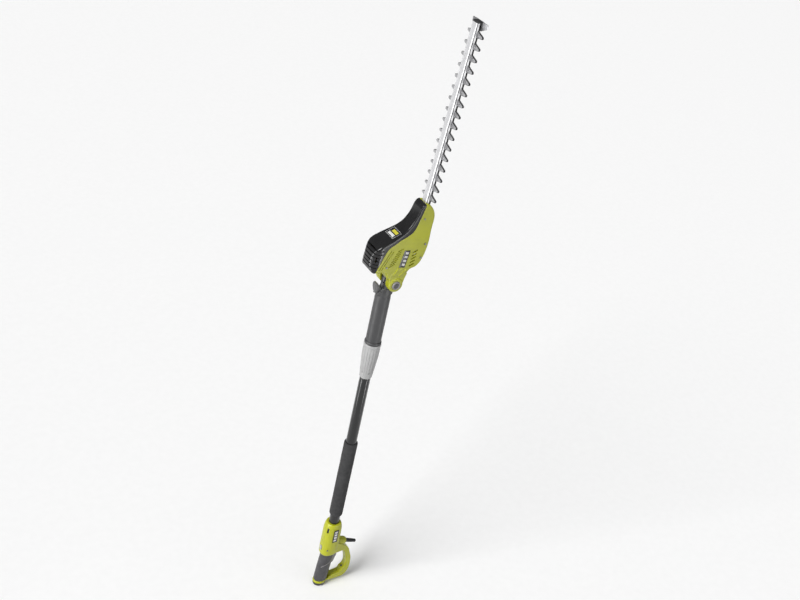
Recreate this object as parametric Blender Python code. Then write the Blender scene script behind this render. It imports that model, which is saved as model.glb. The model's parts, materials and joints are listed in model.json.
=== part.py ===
"""Pole hedge trimmer, modelled as an assembly of separate named pieces.

The pole axis is +Z with the blade at the top. +X is the underside, where the trigger and
the hand guard are, and -X is the side of the black motor cover. The origin is on the pole
axis in the middle of the rear hand grip.

Sizes are in millimetres. Every mesh is turned into metres once, in new_piece().
The pieces of the cutting head are drawn in the head's own frame: x across the blade,
away from the pole's top side, z along the blade, and the origin on the tilt pivot.
"""

import math

import bmesh
import bpy
from mathutils import Matrix, Vector

MM = 0.001
GAP = 0.3                    # between pieces that touch
HALF_GAP = GAP / 2
SAME = 1e-6                  # lengths closer than this are taken as equal

# rear handle
BUTT_Z = -70.0               # flat end of the handle
GRIP_BOTTOM = -50.0
BODY_BOTTOM = 57.0
BODY_TOP = 175.0
GRIP_LEAN = 0.07             # the grip leans to -X by this slope below the body
GRIP_RX, GRIP_RY = 20.4, 17.0
CORE_RX, CORE_RY = 16.8, 13.4
GUARD_HALF = 11.0            # half the width of the hand guard
TRIGGER_PIVOT = (12.5, 0.0, 49.0)
GUARD_CORD_START = Vector((50.0, 0.0, 84.0))
GUARD_CORD_END = Vector((88.0, 0.0, 69.0))
LOCK_PLACE = (-24.0, 0.0, 81.0)
GUARD_SCREWS = [((63.9, 0.0, 11.0), (-1.0, 0.0, 0.0)),        # each one's place and way out
                ((59.5, 0.0, -23.5), (-0.61, 0.0, 0.79))]
BODY_SCREW = ((-17.0, -23.4, 84.0), (0.0, -1.0, 0.0))
LENS_TURN = math.radians(30)

# pole
TUBE_R, TUBE_BORE = 14.4, 12.8
TUBE_LOW, TUBE_HIGH = 96.0, 744.0
FOAM_R = 18.8
FOAM_LOW, FOAM_HIGH = 207.0, 468.0
COLLAR_LOW, COLLAR_HIGH = 691.0, 798.0
COLLET_HIGH = 772.0
INNER_R, INNER_BORE = 12.3, 10.7
INNER_LOW, INNER_HIGH = 252.0, 930.0
RIDGE_HIGH = 806.0
SLEEVE_R = 20.0
SLEEVE_HIGH = 945.0

# cutting head
PIVOT = (8.0, 0.0, 989.0)
HEAD_TILT = math.radians(3.5)
CASE_HALF = 30.0             # half the width over the motor
NECK_HALF = 19.5             # half the width where the blade leaves
CHEEK_HALF = 33.0
TONGUE_HALF = 12.5
KNUCKLE_R = 19.0
WALL = 3.0
MOTOR_Z = 72.0               # motor axis, which runs along x in the head's frame
GEAR_MODULE = 0.95
PINION_TEETH, GEAR_TEETH = 9, 54
GEAR_Z = MOTOR_Z + GEAR_MODULE * (PINION_TEETH + GEAR_TEETH) / 2 + 0.4
BLADE_X = 49.5               # between the two blades
BLADE_THICK = 2.4
BLADE_PLAY = 0.2             # from the middle plane to each blade
BLADE_HALF = 9.0
TOOTH_PITCH = 27.0
TOOTH_COUNT = 16
TOOTH_REACH = 29.3
FIRST_TOOTH = 226.0
BLADE_END = 650.0
TIP_END = 662.0
TIP_THICK = 1.8
TIP_CAP = 4.4                # length of the black cap over the rail's end
CRANK_THROW = 7.0
CRANK_R = 7.0
RAIL_LOW_X = 38.4
LEVER_PIVOT = (-17.0, 0.0, 952.0)
INDEX_STEPS, INDEX_FIRST, INDEX_ANGLE = 4, 139.0, -30.0     # notches of the index disc, degrees
FAN_BLADES = 9

STEPS_FINE, STEPS_MID, STEPS_LOW = 40, 28, 16

COLOURS = {
    "green_plastic": ((0.42, 0.52, 0.01), 0.38, 0.0),
    "black_plastic": ((0.012, 0.012, 0.014), 0.3, 0.0),
    "grey_plastic": ((0.075, 0.077, 0.08), 0.5, 0.0),
    "pale_plastic": ((0.62, 0.62, 0.62), 0.45, 0.0),
    "grip_rubber": ((0.03, 0.03, 0.033), 0.75, 0.0),
    "foam": ((0.035, 0.035, 0.037), 0.95, 0.0),
    "black_tube": ((0.01, 0.01, 0.012), 0.2, 0.4),
    "blade_steel": ((0.55, 0.56, 0.57), 0.3, 1.0),
    "rail_alloy": ((0.72, 0.73, 0.74), 0.35, 1.0),
    "dark_steel": ((0.2, 0.2, 0.21), 0.4, 1.0),
    "copper_core": ((0.5, 0.25, 0.12), 0.4, 0.8),
    "brass": ((0.7, 0.5, 0.2), 0.35, 1.0),
    "label": ((0.8, 0.8, 0.78), 0.4, 0.0),
}


def clear_scene():
    """Remove whatever the scene holds."""
    for item in list(bpy.data.objects):
        bpy.data.objects.remove(item, do_unlink=True)


def finish_material(name):
    """The Principled material of that name, made once."""
    material = bpy.data.materials.get(name)
    if material:
        return material
    colour, roughness, metallic = COLOURS[name]
    material = bpy.data.materials.new(name)
    material.use_nodes = True
    shader = material.node_tree.nodes["Principled BSDF"]
    shader.inputs["Base Color"].default_value = (*colour, 1.0)
    shader.inputs["Roughness"].default_value = roughness
    shader.inputs["Metallic"].default_value = metallic
    material.diffuse_color = (*colour, 1.0)
    return material


def new_piece(name, shape, finish, parent=None, place=(0.0, 0.0, 0.0), sharp=32.0):
    """An object from a shape in millimetres, with its origin at place."""
    bmesh.ops.transform(shape, matrix=Matrix.Scale(MM, 4), verts=shape.verts)
    bmesh.ops.recalc_face_normals(shape, faces=shape.faces)
    mesh = bpy.data.meshes.new(name)
    shape.to_mesh(mesh)
    shape.free()
    mesh.shade_smooth()
    mesh.set_sharp_from_angle(angle=math.radians(sharp))
    piece = bpy.data.objects.new(name, mesh)
    bpy.context.scene.collection.objects.link(piece)
    piece.data.materials.append(finish_material(finish))
    piece.location = Vector(place) * MM
    if parent:
        piece.parent = parent
    return piece


def new_pivot(name, place, tilt=0.0):
    """An empty that other pieces hang on."""
    empty = bpy.data.objects.new(name, None)
    bpy.context.scene.collection.objects.link(empty)
    empty.location = Vector(place) * MM
    empty.rotation_euler = (0.0, tilt, 0.0)
    return empty


def between(low, high):
    """A solid between two matching loops of points."""
    shape = bmesh.new()
    base = [shape.verts.new(point) for point in low]
    top = [shape.verts.new(point) for point in high]
    shape.faces.new(base)
    shape.faces.new(list(reversed(top)))
    for i in range(len(base)):
        j = (i + 1) % len(base)
        shape.faces.new((base[i], top[i], top[j], base[j]))
    bmesh.ops.recalc_face_normals(shape, faces=shape.faces)
    return shape


def prism(outline, low, high, edge=0.0, steps=2):
    """A solid with an (x, z) outline from y = low to y = high, its rims rounded by edge."""
    shape = between([(x, low, z) for x, z in outline], [(x, high, z) for x, z in outline])
    if edge:
        rims = [e for e in shape.edges if abs(e.verts[0].co.y - e.verts[1].co.y) < SAME]
        bmesh.ops.bevel(shape, geom=rims, offset=edge, segments=steps, profile=0.5,
                        affect="EDGES", clamp_overlap=True)
    return shape


def turned(profile, steps):
    """A solid turned about Z from a closed (radius, z) outline that runs once round."""
    shape = bmesh.new()
    rings = []
    for radius, z in profile:
        if radius < SAME:
            rings.append([shape.verts.new((0.0, 0.0, z))])
            continue
        ring = []
        for k in range(steps):
            angle = 2 * math.pi * k / steps
            ring.append(shape.verts.new((radius * math.cos(angle), radius * math.sin(angle), z)))
        rings.append(ring)
    for i, ring in enumerate(rings):
        after = rings[(i + 1) % len(rings)]
        if len(ring) == 1 and len(after) == 1:
            continue
        for k in range(steps):
            m = (k + 1) % steps
            if len(ring) == 1:
                shape.faces.new((ring[0], after[k], after[m]))
            elif len(after) == 1:
                shape.faces.new((ring[k], after[0], ring[m]))
            else:
                shape.faces.new((ring[k], after[k], after[m], ring[m]))
    bmesh.ops.recalc_face_normals(shape, faces=shape.faces)
    return shape


def disc(radius, low, high, steps=STEPS_MID):
    """A plain round solid about Z."""
    return turned([(0, low), (radius, low), (radius, high), (0, high)], steps)


def ring(inner, outer, low, high, steps=STEPS_MID):
    """A plain round tube about Z."""
    return turned([(inner, low), (outer, low), (outer, high), (inner, high)], steps)


def loft(sections, steps=STEPS_MID, power=2.0):
    """A solid through oval sections, each (z, half x, half y, middle x)."""
    shape = bmesh.new()
    rings = []
    for z, half_x, half_y, middle in sections:
        loop = []
        for k in range(steps):
            angle = 2 * math.pi * (k + 0.5) / steps
            c, s = math.cos(angle), math.sin(angle)
            x = middle + half_x * math.copysign(abs(c) ** (2 / power), c)
            y = half_y * math.copysign(abs(s) ** (2 / power), s)
            loop.append(shape.verts.new((x, y, z)))
        rings.append(loop)
    shape.faces.new(rings[0])
    shape.faces.new(list(reversed(rings[-1])))
    for lower, upper in zip(rings, rings[1:]):
        for k in range(steps):
            m = (k + 1) % steps
            shape.faces.new((lower[k], upper[k], upper[m], lower[m]))
    bmesh.ops.recalc_face_normals(shape, faces=shape.faces)
    return shape


def box(low, high, edge=0.0):
    """A block between two corners, with all its edges rounded by edge."""
    shape = bmesh.new()
    bmesh.ops.create_cube(shape, size=1.0)
    for vert in shape.verts:
        vert.co = Vector((low[i] if vert.co[i] < 0 else high[i] for i in range(3)))
    if edge:
        bmesh.ops.bevel(shape, geom=list(shape.edges), offset=edge, segments=1,
                        profile=0.5, affect="EDGES")
    return shape


def turn_to(shape, direction, place=(0, 0, 0)):
    """Lay a shape made about Z along another direction, starting at place."""
    way = Vector(direction).normalized()
    turn = Vector((0, 0, 1)).rotation_difference(way).to_matrix().to_4x4()
    bmesh.ops.transform(shape, matrix=Matrix.Translation(Vector(place)) @ turn,
                        verts=shape.verts)
    return shape


def shifted(shape, offset):
    """Move a shape by an offset."""
    bmesh.ops.translate(shape, vec=Vector(offset), verts=shape.verts)
    return shape


def turned_by(shape, angle):
    """Turn a shape about its own Z axis."""
    bmesh.ops.rotate(shape, cent=(0, 0, 0), matrix=Matrix.Rotation(angle, 3, "Z"),
                     verts=shape.verts)
    return shape


def mirrored(shape):
    """The same shape on the other side of y = 0."""
    copy = shape.copy()
    bmesh.ops.scale(copy, vec=(1, -1, 1), verts=copy.verts)
    bmesh.ops.reverse_faces(copy, faces=copy.faces)
    return copy


def combine(shape, other, operation):
    """One shape after a Boolean with another, both in millimetres."""
    meshes = []
    for part in (shape, other):
        bmesh.ops.recalc_face_normals(part, faces=part.faces)
        mesh = bpy.data.meshes.new("working")
        part.to_mesh(mesh)
        part.free()
        meshes.append(mesh)
    items = [bpy.data.objects.new("working", mesh) for mesh in meshes]
    for item in items:
        bpy.context.scene.collection.objects.link(item)
    step = items[0].modifiers.new("step", "BOOLEAN")
    step.operation = operation
    step.solver = "EXACT"
    step.object = items[1]
    bpy.context.view_layer.update()
    graph = bpy.context.evaluated_depsgraph_get()
    result = bmesh.new()
    result.from_mesh(items[0].evaluated_get(graph).to_mesh())
    for item in items:
        bpy.data.objects.remove(item, do_unlink=True)
    for mesh in meshes:
        bpy.data.meshes.remove(mesh)
    bmesh.ops.remove_doubles(result, verts=result.verts, dist=1e-4)
    return result


def cut(shape, *cutters):
    """A shape with each cutter taken away."""
    for cutter in cutters:
        shape = combine(shape, cutter, "DIFFERENCE")
    return shape


def join(shape, *others):
    """A shape with each other one added."""
    for other in others:
        shape = combine(shape, other, "UNION")
    return shape


def keep(shape, limit):
    """The part of a shape inside another."""
    return combine(shape, limit, "INTERSECT")


def arc(centre, radius, start, end, count):
    """Points on an arc, angles in degrees from +x towards +z."""
    points = []
    for k in range(count + 1):
        angle = math.radians(start + (end - start) * k / count)
        points.append((centre[0] + radius * math.cos(angle), centre[1] + radius * math.sin(angle)))
    return points


def eased(points, radius=6.0, steps=3):
    """An outline with every corner rounded, as far as its sides allow."""
    result = []
    count = len(points)
    for i in range(count):
        here = Vector(points[i])
        before = Vector(points[i - 1]) - here
        after = Vector(points[(i + 1) % count]) - here
        reach = min(radius, before.length * 0.45, after.length * 0.45)
        start = here + before.normalized() * reach
        end = here + after.normalized() * reach
        for k in range(steps + 1):
            t = k / steps
            point = start * (1 - t) ** 2 + here * 2 * t * (1 - t) + end * t ** 2
            result.append((point.x, point.y))
    return result


def lean(shape):
    """Slope the grip end of the handle towards -X."""
    for vert in shape.verts:
        if vert.co.z < BODY_BOTTOM:
            vert.co.x += GRIP_LEAN * (vert.co.z - BODY_BOTTOM)
    return shape


# ---------------------------------------------------------------- rear handle

def guard_outline():
    """Side outline of the hand guard, open towards the grip."""
    outer = [(0, 94), (26, 90), (46, 76), (64, 60), (73, 34), (80, 12), (81, -28), (70, -54),
             (50, -58), (-6, -58)]
    lower = [(-6, GRIP_BOTTOM - GAP), (15.4, GRIP_BOTTOM - GAP), (16.4, -43), (36, -40),
             (52, -38)]
    inner = [(55, -27), (64, -20), (67, -6), (64, 12), (57, 36), (42, 59), (0, 62)]
    return outer + lower + inner


def handle_half():
    """The near half of the handle shell: body, grip core, end flange, guard and its web."""
    body = loft([(BODY_BOTTOM, 22.5, 19.5, -1), (62, 25.2, 22.6, -0.5), (72, 25.8, 23.5, 0),
                 (150, 25.5, 23.5, 0), (164, 23.5, 22.3, 0), (BODY_TOP, 19.8, 19.8, 0)],
                STEPS_MID, 2.3)
    core = lean(loft([(GRIP_BOTTOM - 8, CORE_RX, CORE_RY, 0),
                      (BODY_BOTTOM + 6, CORE_RX, CORE_RY, 0)], STEPS_MID))
    flange = lean(loft([(GRIP_BOTTOM - 8, GRIP_RX, GRIP_RY, 0),
                        (GRIP_BOTTOM - 4, GRIP_RX + 0.6, GRIP_RY + 0.6, 0),
                        (GRIP_BOTTOM - GAP, GRIP_RX, GRIP_RY, 0)], STEPS_MID))
    guard = prism(guard_outline(), -GUARD_HALF, GUARD_HALF, edge=3.0, steps=2)
    way = GUARD_CORD_END - GUARD_CORD_START
    boss = turn_to(turned([(0, -34), (11, -34), (11.5, -8), (9.5, 0), (0, 0)], STEPS_LOW),
                   way, GUARD_CORD_START)
    web = between([(6, -21, 61), (6, 21, 61), (6, 21, 100), (6, -21, 100)],
                  [(54, -GUARD_HALF, 54), (54, GUARD_HALF, 54), (54, GUARD_HALF, 68),
                   (54, -GUARD_HALF, 68)])
    shape = join(body, core, flange, guard, boss, web)
    half = keep(shape, box((-60, -60, -90), (120, -HALF_GAP, 200)))
    inside = loft([(BODY_BOTTOM + 12, 20, 18.5, 0), (BODY_TOP - 50, 21, 19.5, 0)], STEPS_LOW)
    channel = lean(loft([(GRIP_BOTTOM + 8, 12.5, 9.5, 0), (BODY_BOTTOM + 14, 12.5, 9.5, 0)],
                        STEPS_LOW))
    bore = disc(TUBE_R + GAP, TUBE_LOW - GAP, BODY_TOP + 5, STEPS_FINE)
    slot = box((8, -6.6, 6), (26, 6.6, 56.5))
    way_in = turn_to(disc(5.6, -30, 6, STEPS_LOW), way, GUARD_CORD_START)
    lock = box((-40, -4.6, 73), (-12, 4.6, 89))
    lens = turned_by(box((-40, -3, 145), (-22, 3, 163)), LENS_TURN)
    wells = [turn_to(disc(3.4, -2.2, 6, STEPS_LOW), way, place) for place, way in GUARD_SCREWS]
    return cut(half, inside, channel, bore, slot, way_in, lock, lens, *wells)


def build_handle():
    """Handle shells and all that the rear handle holds."""
    near = handle_half()
    far = mirrored(near)
    new_piece("handle_shell_near", near, "green_plastic")
    new_piece("handle_shell_far", far, "green_plastic")

    grip = lean(loft([(GRIP_BOTTOM, GRIP_RX - 0.6, GRIP_RY - 0.6, 0),
                      (GRIP_BOTTOM + 3, GRIP_RX, GRIP_RY, 0),
                      (20, GRIP_RX, GRIP_RY, 0),
                      (BODY_BOTTOM - GAP, GRIP_RX, GRIP_RY, 0)], STEPS_MID))
    hole = lean(loft([(GRIP_BOTTOM - 5, CORE_RX + GAP, CORE_RY + GAP, 0),
                      (BODY_BOTTOM + 5, CORE_RX + GAP, CORE_RY + GAP, 0)], STEPS_MID))
    grip = cut(grip, hole, box((4, -6.9, 5.5), (40, 6.9, 70)),
               box((14.5, -12, 54), (40, 12, 70)))
    new_piece("grip_rubber", grip, "grip_rubber")

    middle = GRIP_LEAN * (GRIP_BOTTOM - 8 - BODY_BOTTOM)
    cap = loft([(BUTT_Z, GRIP_RX - 5, GRIP_RY - 5, middle),
                (BUTT_Z + 3, GRIP_RX - 2, GRIP_RY - 2, middle),
                (GRIP_BOTTOM - 8 - GAP, GRIP_RX - 0.4, GRIP_RY - 0.4, middle)], STEPS_MID)
    new_piece("grip_end_cap", cap, "black_plastic")

    trigger = prism(eased([(8.5, 53), (17, 53.5), (25, 47), (30.5, 40), (28.5, 33), (24.5, 20),
                           (21.2, 9), (14, 9), (12, 30), (8.5, 46)], 3.0, 2), -5.8, 5.8,
                    edge=1.2, steps=1)
    pin_hole = turn_to(disc(1.9, -10, 10, 10), (0, 1, 0), TRIGGER_PIVOT)
    trigger = shifted(cut(trigger, pin_hole), -Vector(TRIGGER_PIVOT))
    new_piece("trigger", trigger, "grey_plastic", place=TRIGGER_PIVOT)
    pin = turn_to(disc(1.6, -6.2, 6.2, 10), (0, 1, 0), TRIGGER_PIVOT)
    new_piece("trigger_pin", pin, "dark_steel")
    new_piece("trigger_spring", turn_to(disc(1.8, 0, 5.6, 10), (1, 0, 0), (5.6, 0, 20)),
              "dark_steel")
    new_piece("switch_body", box((-7, -5.8, 8), (4.8, 5.8, 50), 0.8), "black_plastic")
    new_piece("terminal_block", box((-10, -9, 76), (10, 9, 86), 0.8), "pale_plastic")
    new_piece("cord_clamp", box((-12, -10, 70.4), (14, 10, 74.4), 0.6), "black_plastic")

    lock = box((-28.2, -4.2, 73.4), (-20, 4.2, 88.6), 1.2)
    new_piece("lock_off_button", shifted(lock, -Vector(LOCK_PLACE)), "grey_plastic",
              place=LOCK_PLACE)
    lock_spring = turn_to(disc(2.2, 0, 8.6, 10), (1, 0, 0), (-19.4, 0, 81))
    new_piece("lock_spring", lock_spring, "dark_steel")
    lens = turned_by(box((-24.2, -2.7, 145.3), (-22.3, 2.7, 162.7)), LENS_TURN)
    new_piece("indicator_lens", lens, "black_plastic")

    clamp = cut(ring(TUBE_R + GAP, 17.6, 96, 112, STEPS_MID), box((8, -2, 90), (30, 2, 120)))
    new_piece("tube_clamp", clamp, "dark_steel")

    way = GUARD_CORD_END - GUARD_CORD_START
    guard = turned([(0, -8), (5.2, -8), (5.2, GAP), (8.2, GAP), (8.2, 3.4), (6.3, 4.2),
                    (5.9, 24), (4.7, way.length), (3.3, way.length), (3.3, way.length - 14),
                    (0, way.length - 14)], STEPS_LOW)
    new_piece("cord_guard", turn_to(guard, way, GUARD_CORD_START), "grip_rubber")

    badge = prism([(-8, 114), (7, 114), (7, 160), (-8, 160)], -24.6, -23.8, edge=0.0)
    new_piece("handle_badge", badge, "black_plastic")

    for number, (place, way) in enumerate(GUARD_SCREWS + [BODY_SCREW], start=1):
        head = turn_to(disc(2.4, -2.2 + GAP, -0.4, 12), way, place)
        new_piece(f"handle_screw_{number}", head, "dark_steel")


# ---------------------------------------------------------------- pole

def build_pole():
    """Tubes, foam, clamp collar, and the sleeve and yoke that carry the head."""
    new_piece("outer_tube", ring(TUBE_BORE, TUBE_R, TUBE_LOW, TUBE_HIGH, STEPS_FINE), "black_tube")
    foam = turned([(TUBE_R + GAP, FOAM_LOW), (FOAM_R - 1.5, FOAM_LOW), (FOAM_R, FOAM_LOW + 2),
                   (FOAM_R, FOAM_HIGH - 2), (FOAM_R - 1.5, FOAM_HIGH), (TUBE_R + GAP, FOAM_HIGH)],
                  STEPS_MID)
    new_piece("foam_grip", foam, "foam")

    low = TUBE_HIGH + GAP
    collet = turned([(INNER_R + GAP, low), (17.2, low), (16.2, COLLET_HIGH),
                     (INNER_R + GAP, COLLET_HIGH)], STEPS_MID)
    collet = cut(collet, box((0, -1, low + 6), (30, 1, COLLET_HIGH + 5)))
    new_piece("collet", collet, "black_plastic")

    collar = turned([(TUBE_R + 0.4, COLLAR_LOW), (15.6, COLLAR_LOW), (16.4, COLLAR_LOW + 2),
                     (18.4, COLLAR_LOW + 26), (21.6, COLLAR_LOW + 66), (22.3, COLLAR_HIGH - 5),
                     (21.6, COLLAR_HIGH), (17.8, COLLAR_HIGH), (17.8, TUBE_HIGH - 3),
                     (TUBE_R + 0.4, TUBE_HIGH - 8)], STEPS_MID)
    new_piece("clamp_collar", collar, "pale_plastic")

    inner = ring(INNER_BORE, INNER_R, INNER_LOW, INNER_HIGH, STEPS_MID)
    new_piece("inner_tube", inner, "rail_alloy")
    plug = turned([(0, INNER_LOW - 6), (12.4, INNER_LOW - 6), (12.4, INNER_LOW - GAP),
                   (INNER_BORE - GAP, INNER_LOW - GAP), (INNER_BORE - GAP, INNER_LOW + 12),
                   (0, INNER_LOW + 12)], STEPS_LOW)
    new_piece("inner_tube_plug", plug, "black_plastic")

    ridge = turned([(INNER_R + GAP, COLLAR_HIGH + 0.6), (20.2, COLLAR_HIGH + 0.6),
                    (20.9, COLLAR_HIGH + 2.4), (20.9, RIDGE_HIGH - 1.6), (20.2, RIDGE_HIGH),
                    (INNER_R + GAP, RIDGE_HIGH)], STEPS_MID)
    new_piece("sleeve_ring", ridge, "grey_plastic")
    sleeve = turned([(INNER_R + GAP, RIDGE_HIGH + GAP), (SLEEVE_R - 0.6, RIDGE_HIGH + GAP),
                     (SLEEVE_R, RIDGE_HIGH + 2), (SLEEVE_R, SLEEVE_HIGH - 8),
                     (SLEEVE_R - 0.8, SLEEVE_HIGH), (INNER_R + GAP, SLEEVE_HIGH)], STEPS_FINE)
    new_piece("head_sleeve", sleeve, "grey_plastic")
    build_yoke()


def build_yoke():
    """The forked end of the pole, its angle lever, lever pin and lever spring."""
    base_low = SLEEVE_HIGH + GAP
    pivot_x, pivot_z = PIVOT[0], PIVOT[2]
    base = loft([(base_low, 19.0, 19.0, 0), (base_low + 8, 18.6, 18.0, 1),
                 (pivot_z - KNUCKLE_R - 2.6, 16.5, 15.0, 3)], STEPS_MID, 2.2)
    tongue = prism([(-9, base_low + 4), (18, base_low + 4)]
                   + arc((pivot_x, pivot_z), 14.5, -20, 200, 12), -TONGUE_HALF, TONGUE_HALF)
    ears = prism(eased([(-26, 948), (-12, base_low + 3), (-8, 958), (-15, 962), (-24, 956)], 3, 2),
                 -9.5, 9.5)
    shape = join(base, tongue, ears)
    bolt_hole = turn_to(disc(4.4, -30, 30, STEPS_LOW), (0, 1, 0), PIVOT)
    socket = disc(INNER_R + GAP, 900, INNER_HIGH + GAP, STEPS_LOW)
    lever_room = box((-45, -6.4, 940), (-10.5, 6.4, 990))
    disc_room = box((-30, -3.4, pivot_z - KNUCKLE_R - 9), (40, 3.4, pivot_z + 30))
    pin_hole = turn_to(disc(1.9, -30, 30, 10), (0, 1, 0), LEVER_PIVOT)
    new_piece("yoke", cut(shape, bolt_hole, socket, lever_room, disc_room, pin_hole),
              "grey_plastic")

    lever = prism(eased([(-14, 956), (-13.2, 964), (-17, 966), (-20, 957), (-36, 977),
                         (-39, 975), (-30, 955), (-22, 948), (-14.5, 948.5)], 1.5, 2), -6.0, 6.0)
    pawl = prism([(-16, 958), (-13.4, 957), (-4.9, 976.0), (-7.2, 978.2), (-15.5, 966)], -2.9, 2.9)
    lever = cut(join(lever, pawl), turn_to(disc(1.9, -30, 30, 10), (0, 1, 0), LEVER_PIVOT))
    spring = turn_to(disc(1.2, 0, 2.0, 10), (1, 0, 0), (-13.0, 4.5, 960))
    new_piece("lever_spring", spring, "dark_steel")
    new_piece("angle_lever", shifted(lever, -Vector(LEVER_PIVOT)), "grey_plastic",
              place=LEVER_PIVOT)
    new_piece("lever_pin", turn_to(disc(1.6, -9.4, 9.4, 10), (0, 1, 0), LEVER_PIVOT),
              "dark_steel")


# ---------------------------------------------------------------- cutting head

def case_outline():
    """Side outline of the green case, without the knuckle."""
    return [(36, 213), (46, 213), (57, 203), (66, 190), (70, 172), (68, 148), (65.5, 120),
            (65, 98), (62, 76), (55, 58), (45, 47), (31, 43), (24, 30), (-22, 16), (-29, 20),
            (-32, 30), (-38, 36), (-62, 38), (-66, 42), (-62, 56), (-57, 73), (-50, 95),
            (-41, 108), (-17, 124.5), (9, 137.5), (19, 147), (25, 160), (31, 185)]


def cover_outline():
    """Side outline of the black cover, above the parting line."""
    top = [(27, 212), (21, 184), (10, 160), (1, 148), (-11, 138), (-38, 123), (-63, 110),
           (-75, 98), (-81, 80), (-82, 58), (-78, 42), (-70, 34)]
    return top + [(-66.4, 41.5), (-62.4, 56), (-57.4, 73.2), (-50.4, 95.4), (-41.3, 108.4),
                  (-17.3, 124.9), (8.7, 137.9), (18.6, 147.3), (24.6, 160.2), (30.6, 185), (35.6, 213)]


def neck_trim(side):
    """A wedge that narrows the head towards the blade, on one side."""
    plan = [(-CASE_HALF - 1, 112), (-CASE_HALF + 1.0, 122), (-24, 138), (-21, 152),
            (-NECK_HALF, 170), (-NECK_HALF, 230), (-60, 230), (-60, 112)]
    return between([(-120, y * side, z) for y, z in plan], [(120, y * side, z) for y, z in plan])


def motor_bore(radius, low=-78.0, high=22.0):
    """A round cutter on the motor's axis."""
    return turn_to(disc(radius, low, high, STEPS_MID), (1, 0, 0), (0, 0, MOTOR_Z))


def case_half():
    """The near half of the green case, with one cheek of the knuckle."""
    shell = prism(case_outline(), -CASE_HALF, 20, edge=5.0, steps=2)
    shell = keep(shell, box((-90, -50, -30), (120, -HALF_GAP, 240)))
    shell = cut(shell, neck_trim(1))
    cheek = prism([(-24, 26), (-20, 8)] + arc((0, 0), KNUCKLE_R, 190, 360, 14)
                  + [(21, 12), (25, 32), (8, 47), (-12, 40)], -CHEEK_HALF, -TONGUE_HALF - 0.5,
                  edge=1.5, steps=1)
    shell = join(shell, cheek)
    tongue_room = prism(arc((0, 0), 22.5, 0, 360, 20)[:-1], -TONGUE_HALF - 0.5, 5)
    gear_room = box((22, -CASE_HALF + WALL, 62), (62, 5, 134))
    eye_room = box((36.8, -17.5, 120), (56, 5, 150))
    neck_room = box((36.8, -14.5, 140), (56, 5, 205))
    blade_way = box((37.6, -BLADE_HALF - 1.2, 190), (53.4, 5, 240))
    bolt_hole = turn_to(disc(4.4, -40, 40, STEPS_LOW), (0, 1, 0), (0, 0, 0))
    recess = turn_to(disc(11.4, CHEEK_HALF - 2.0, CHEEK_HALF + 9, STEPS_MID), (0, -1, 0))
    return cut(shell, tongue_room, motor_bore(26.6), gear_room, eye_room, neck_room, blade_way,
               bolt_hole, recess)


def build_case(head):
    """Both case halves, the black cover, badges and the knuckle's hardware."""
    near = case_half()
    far = mirrored(near)
    new_piece("case_near", near, "green_plastic", head)
    new_piece("case_far", far, "green_plastic", head)

    cover = prism(cover_outline(), -CASE_HALF, CASE_HALF, edge=3.0, steps=2)
    cover = cut(cover, neck_trim(1), neck_trim(-1), motor_bore(26.6))
    new_piece("motor_cover", cover, "black_plastic", head)

    label = [(-36.2, 124.5), (-13.2, 137.3), (-13.6, 138.0), (-36.6, 125.2)]
    new_piece("cover_label", prism(label, -18, 18), "label", head)
    for number, (x, z) in enumerate([(54, 112), (52, 74), (-40, 52), (40, 176)], start=1):
        face = CASE_HALF if z < 120 else NECK_HALF + 0.5
        screw = turn_to(disc(2.4, face + GAP, face + 1.2, 12), (0, -1, 0), (x, 0, z))
        new_piece(f"case_screw_{number}", screw, "dark_steel", head)

    badge = prism([(-4.5, 50.5), (12, 49), (16, 96.4), (0, 97.5)], -CASE_HALF - 0.9,
                  -CASE_HALF - GAP)
    new_piece("case_badge", badge, "black_plastic", head)

    bolt = turn_to(disc(4.0, -CHEEK_HALF + 2.4, CHEEK_HALF - 2.4, STEPS_LOW), (0, 1, 0))
    new_piece("pivot_bolt", bolt, "dark_steel", head)
    wheel = turn_to(ring(4.0 + GAP, 16.0, -2.8, 2.8, STEPS_FINE), (0, 1, 0))
    for step in range(INDEX_STEPS):
        angle = math.radians(INDEX_FIRST + step * INDEX_ANGLE)
        notch = box((14.2, -4, -1.6), (20, 4, 1.6))
        bmesh.ops.rotate(notch, cent=(0, 0, 0), matrix=Matrix.Rotation(angle, 3, "Y"),
                         verts=notch.verts)
        wheel = cut(wheel, notch)
    new_piece("index_disc", wheel, "dark_steel", head)
    for name, side in (("near", -1), ("far", 1)):
        face = CHEEK_HALF - 2.0 + GAP
        cap = turned([(0, face), (11, face), (11, face + 4.0), (10, face + 5.2),
                      (7.4, face + 5.2), (6.8, face + 3.6), (0, face + 3.6)], STEPS_MID)
        new_piece(f"pivot_cap_{name}", turn_to(cap, (0, side, 0)), "pale_plastic", head)


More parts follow.
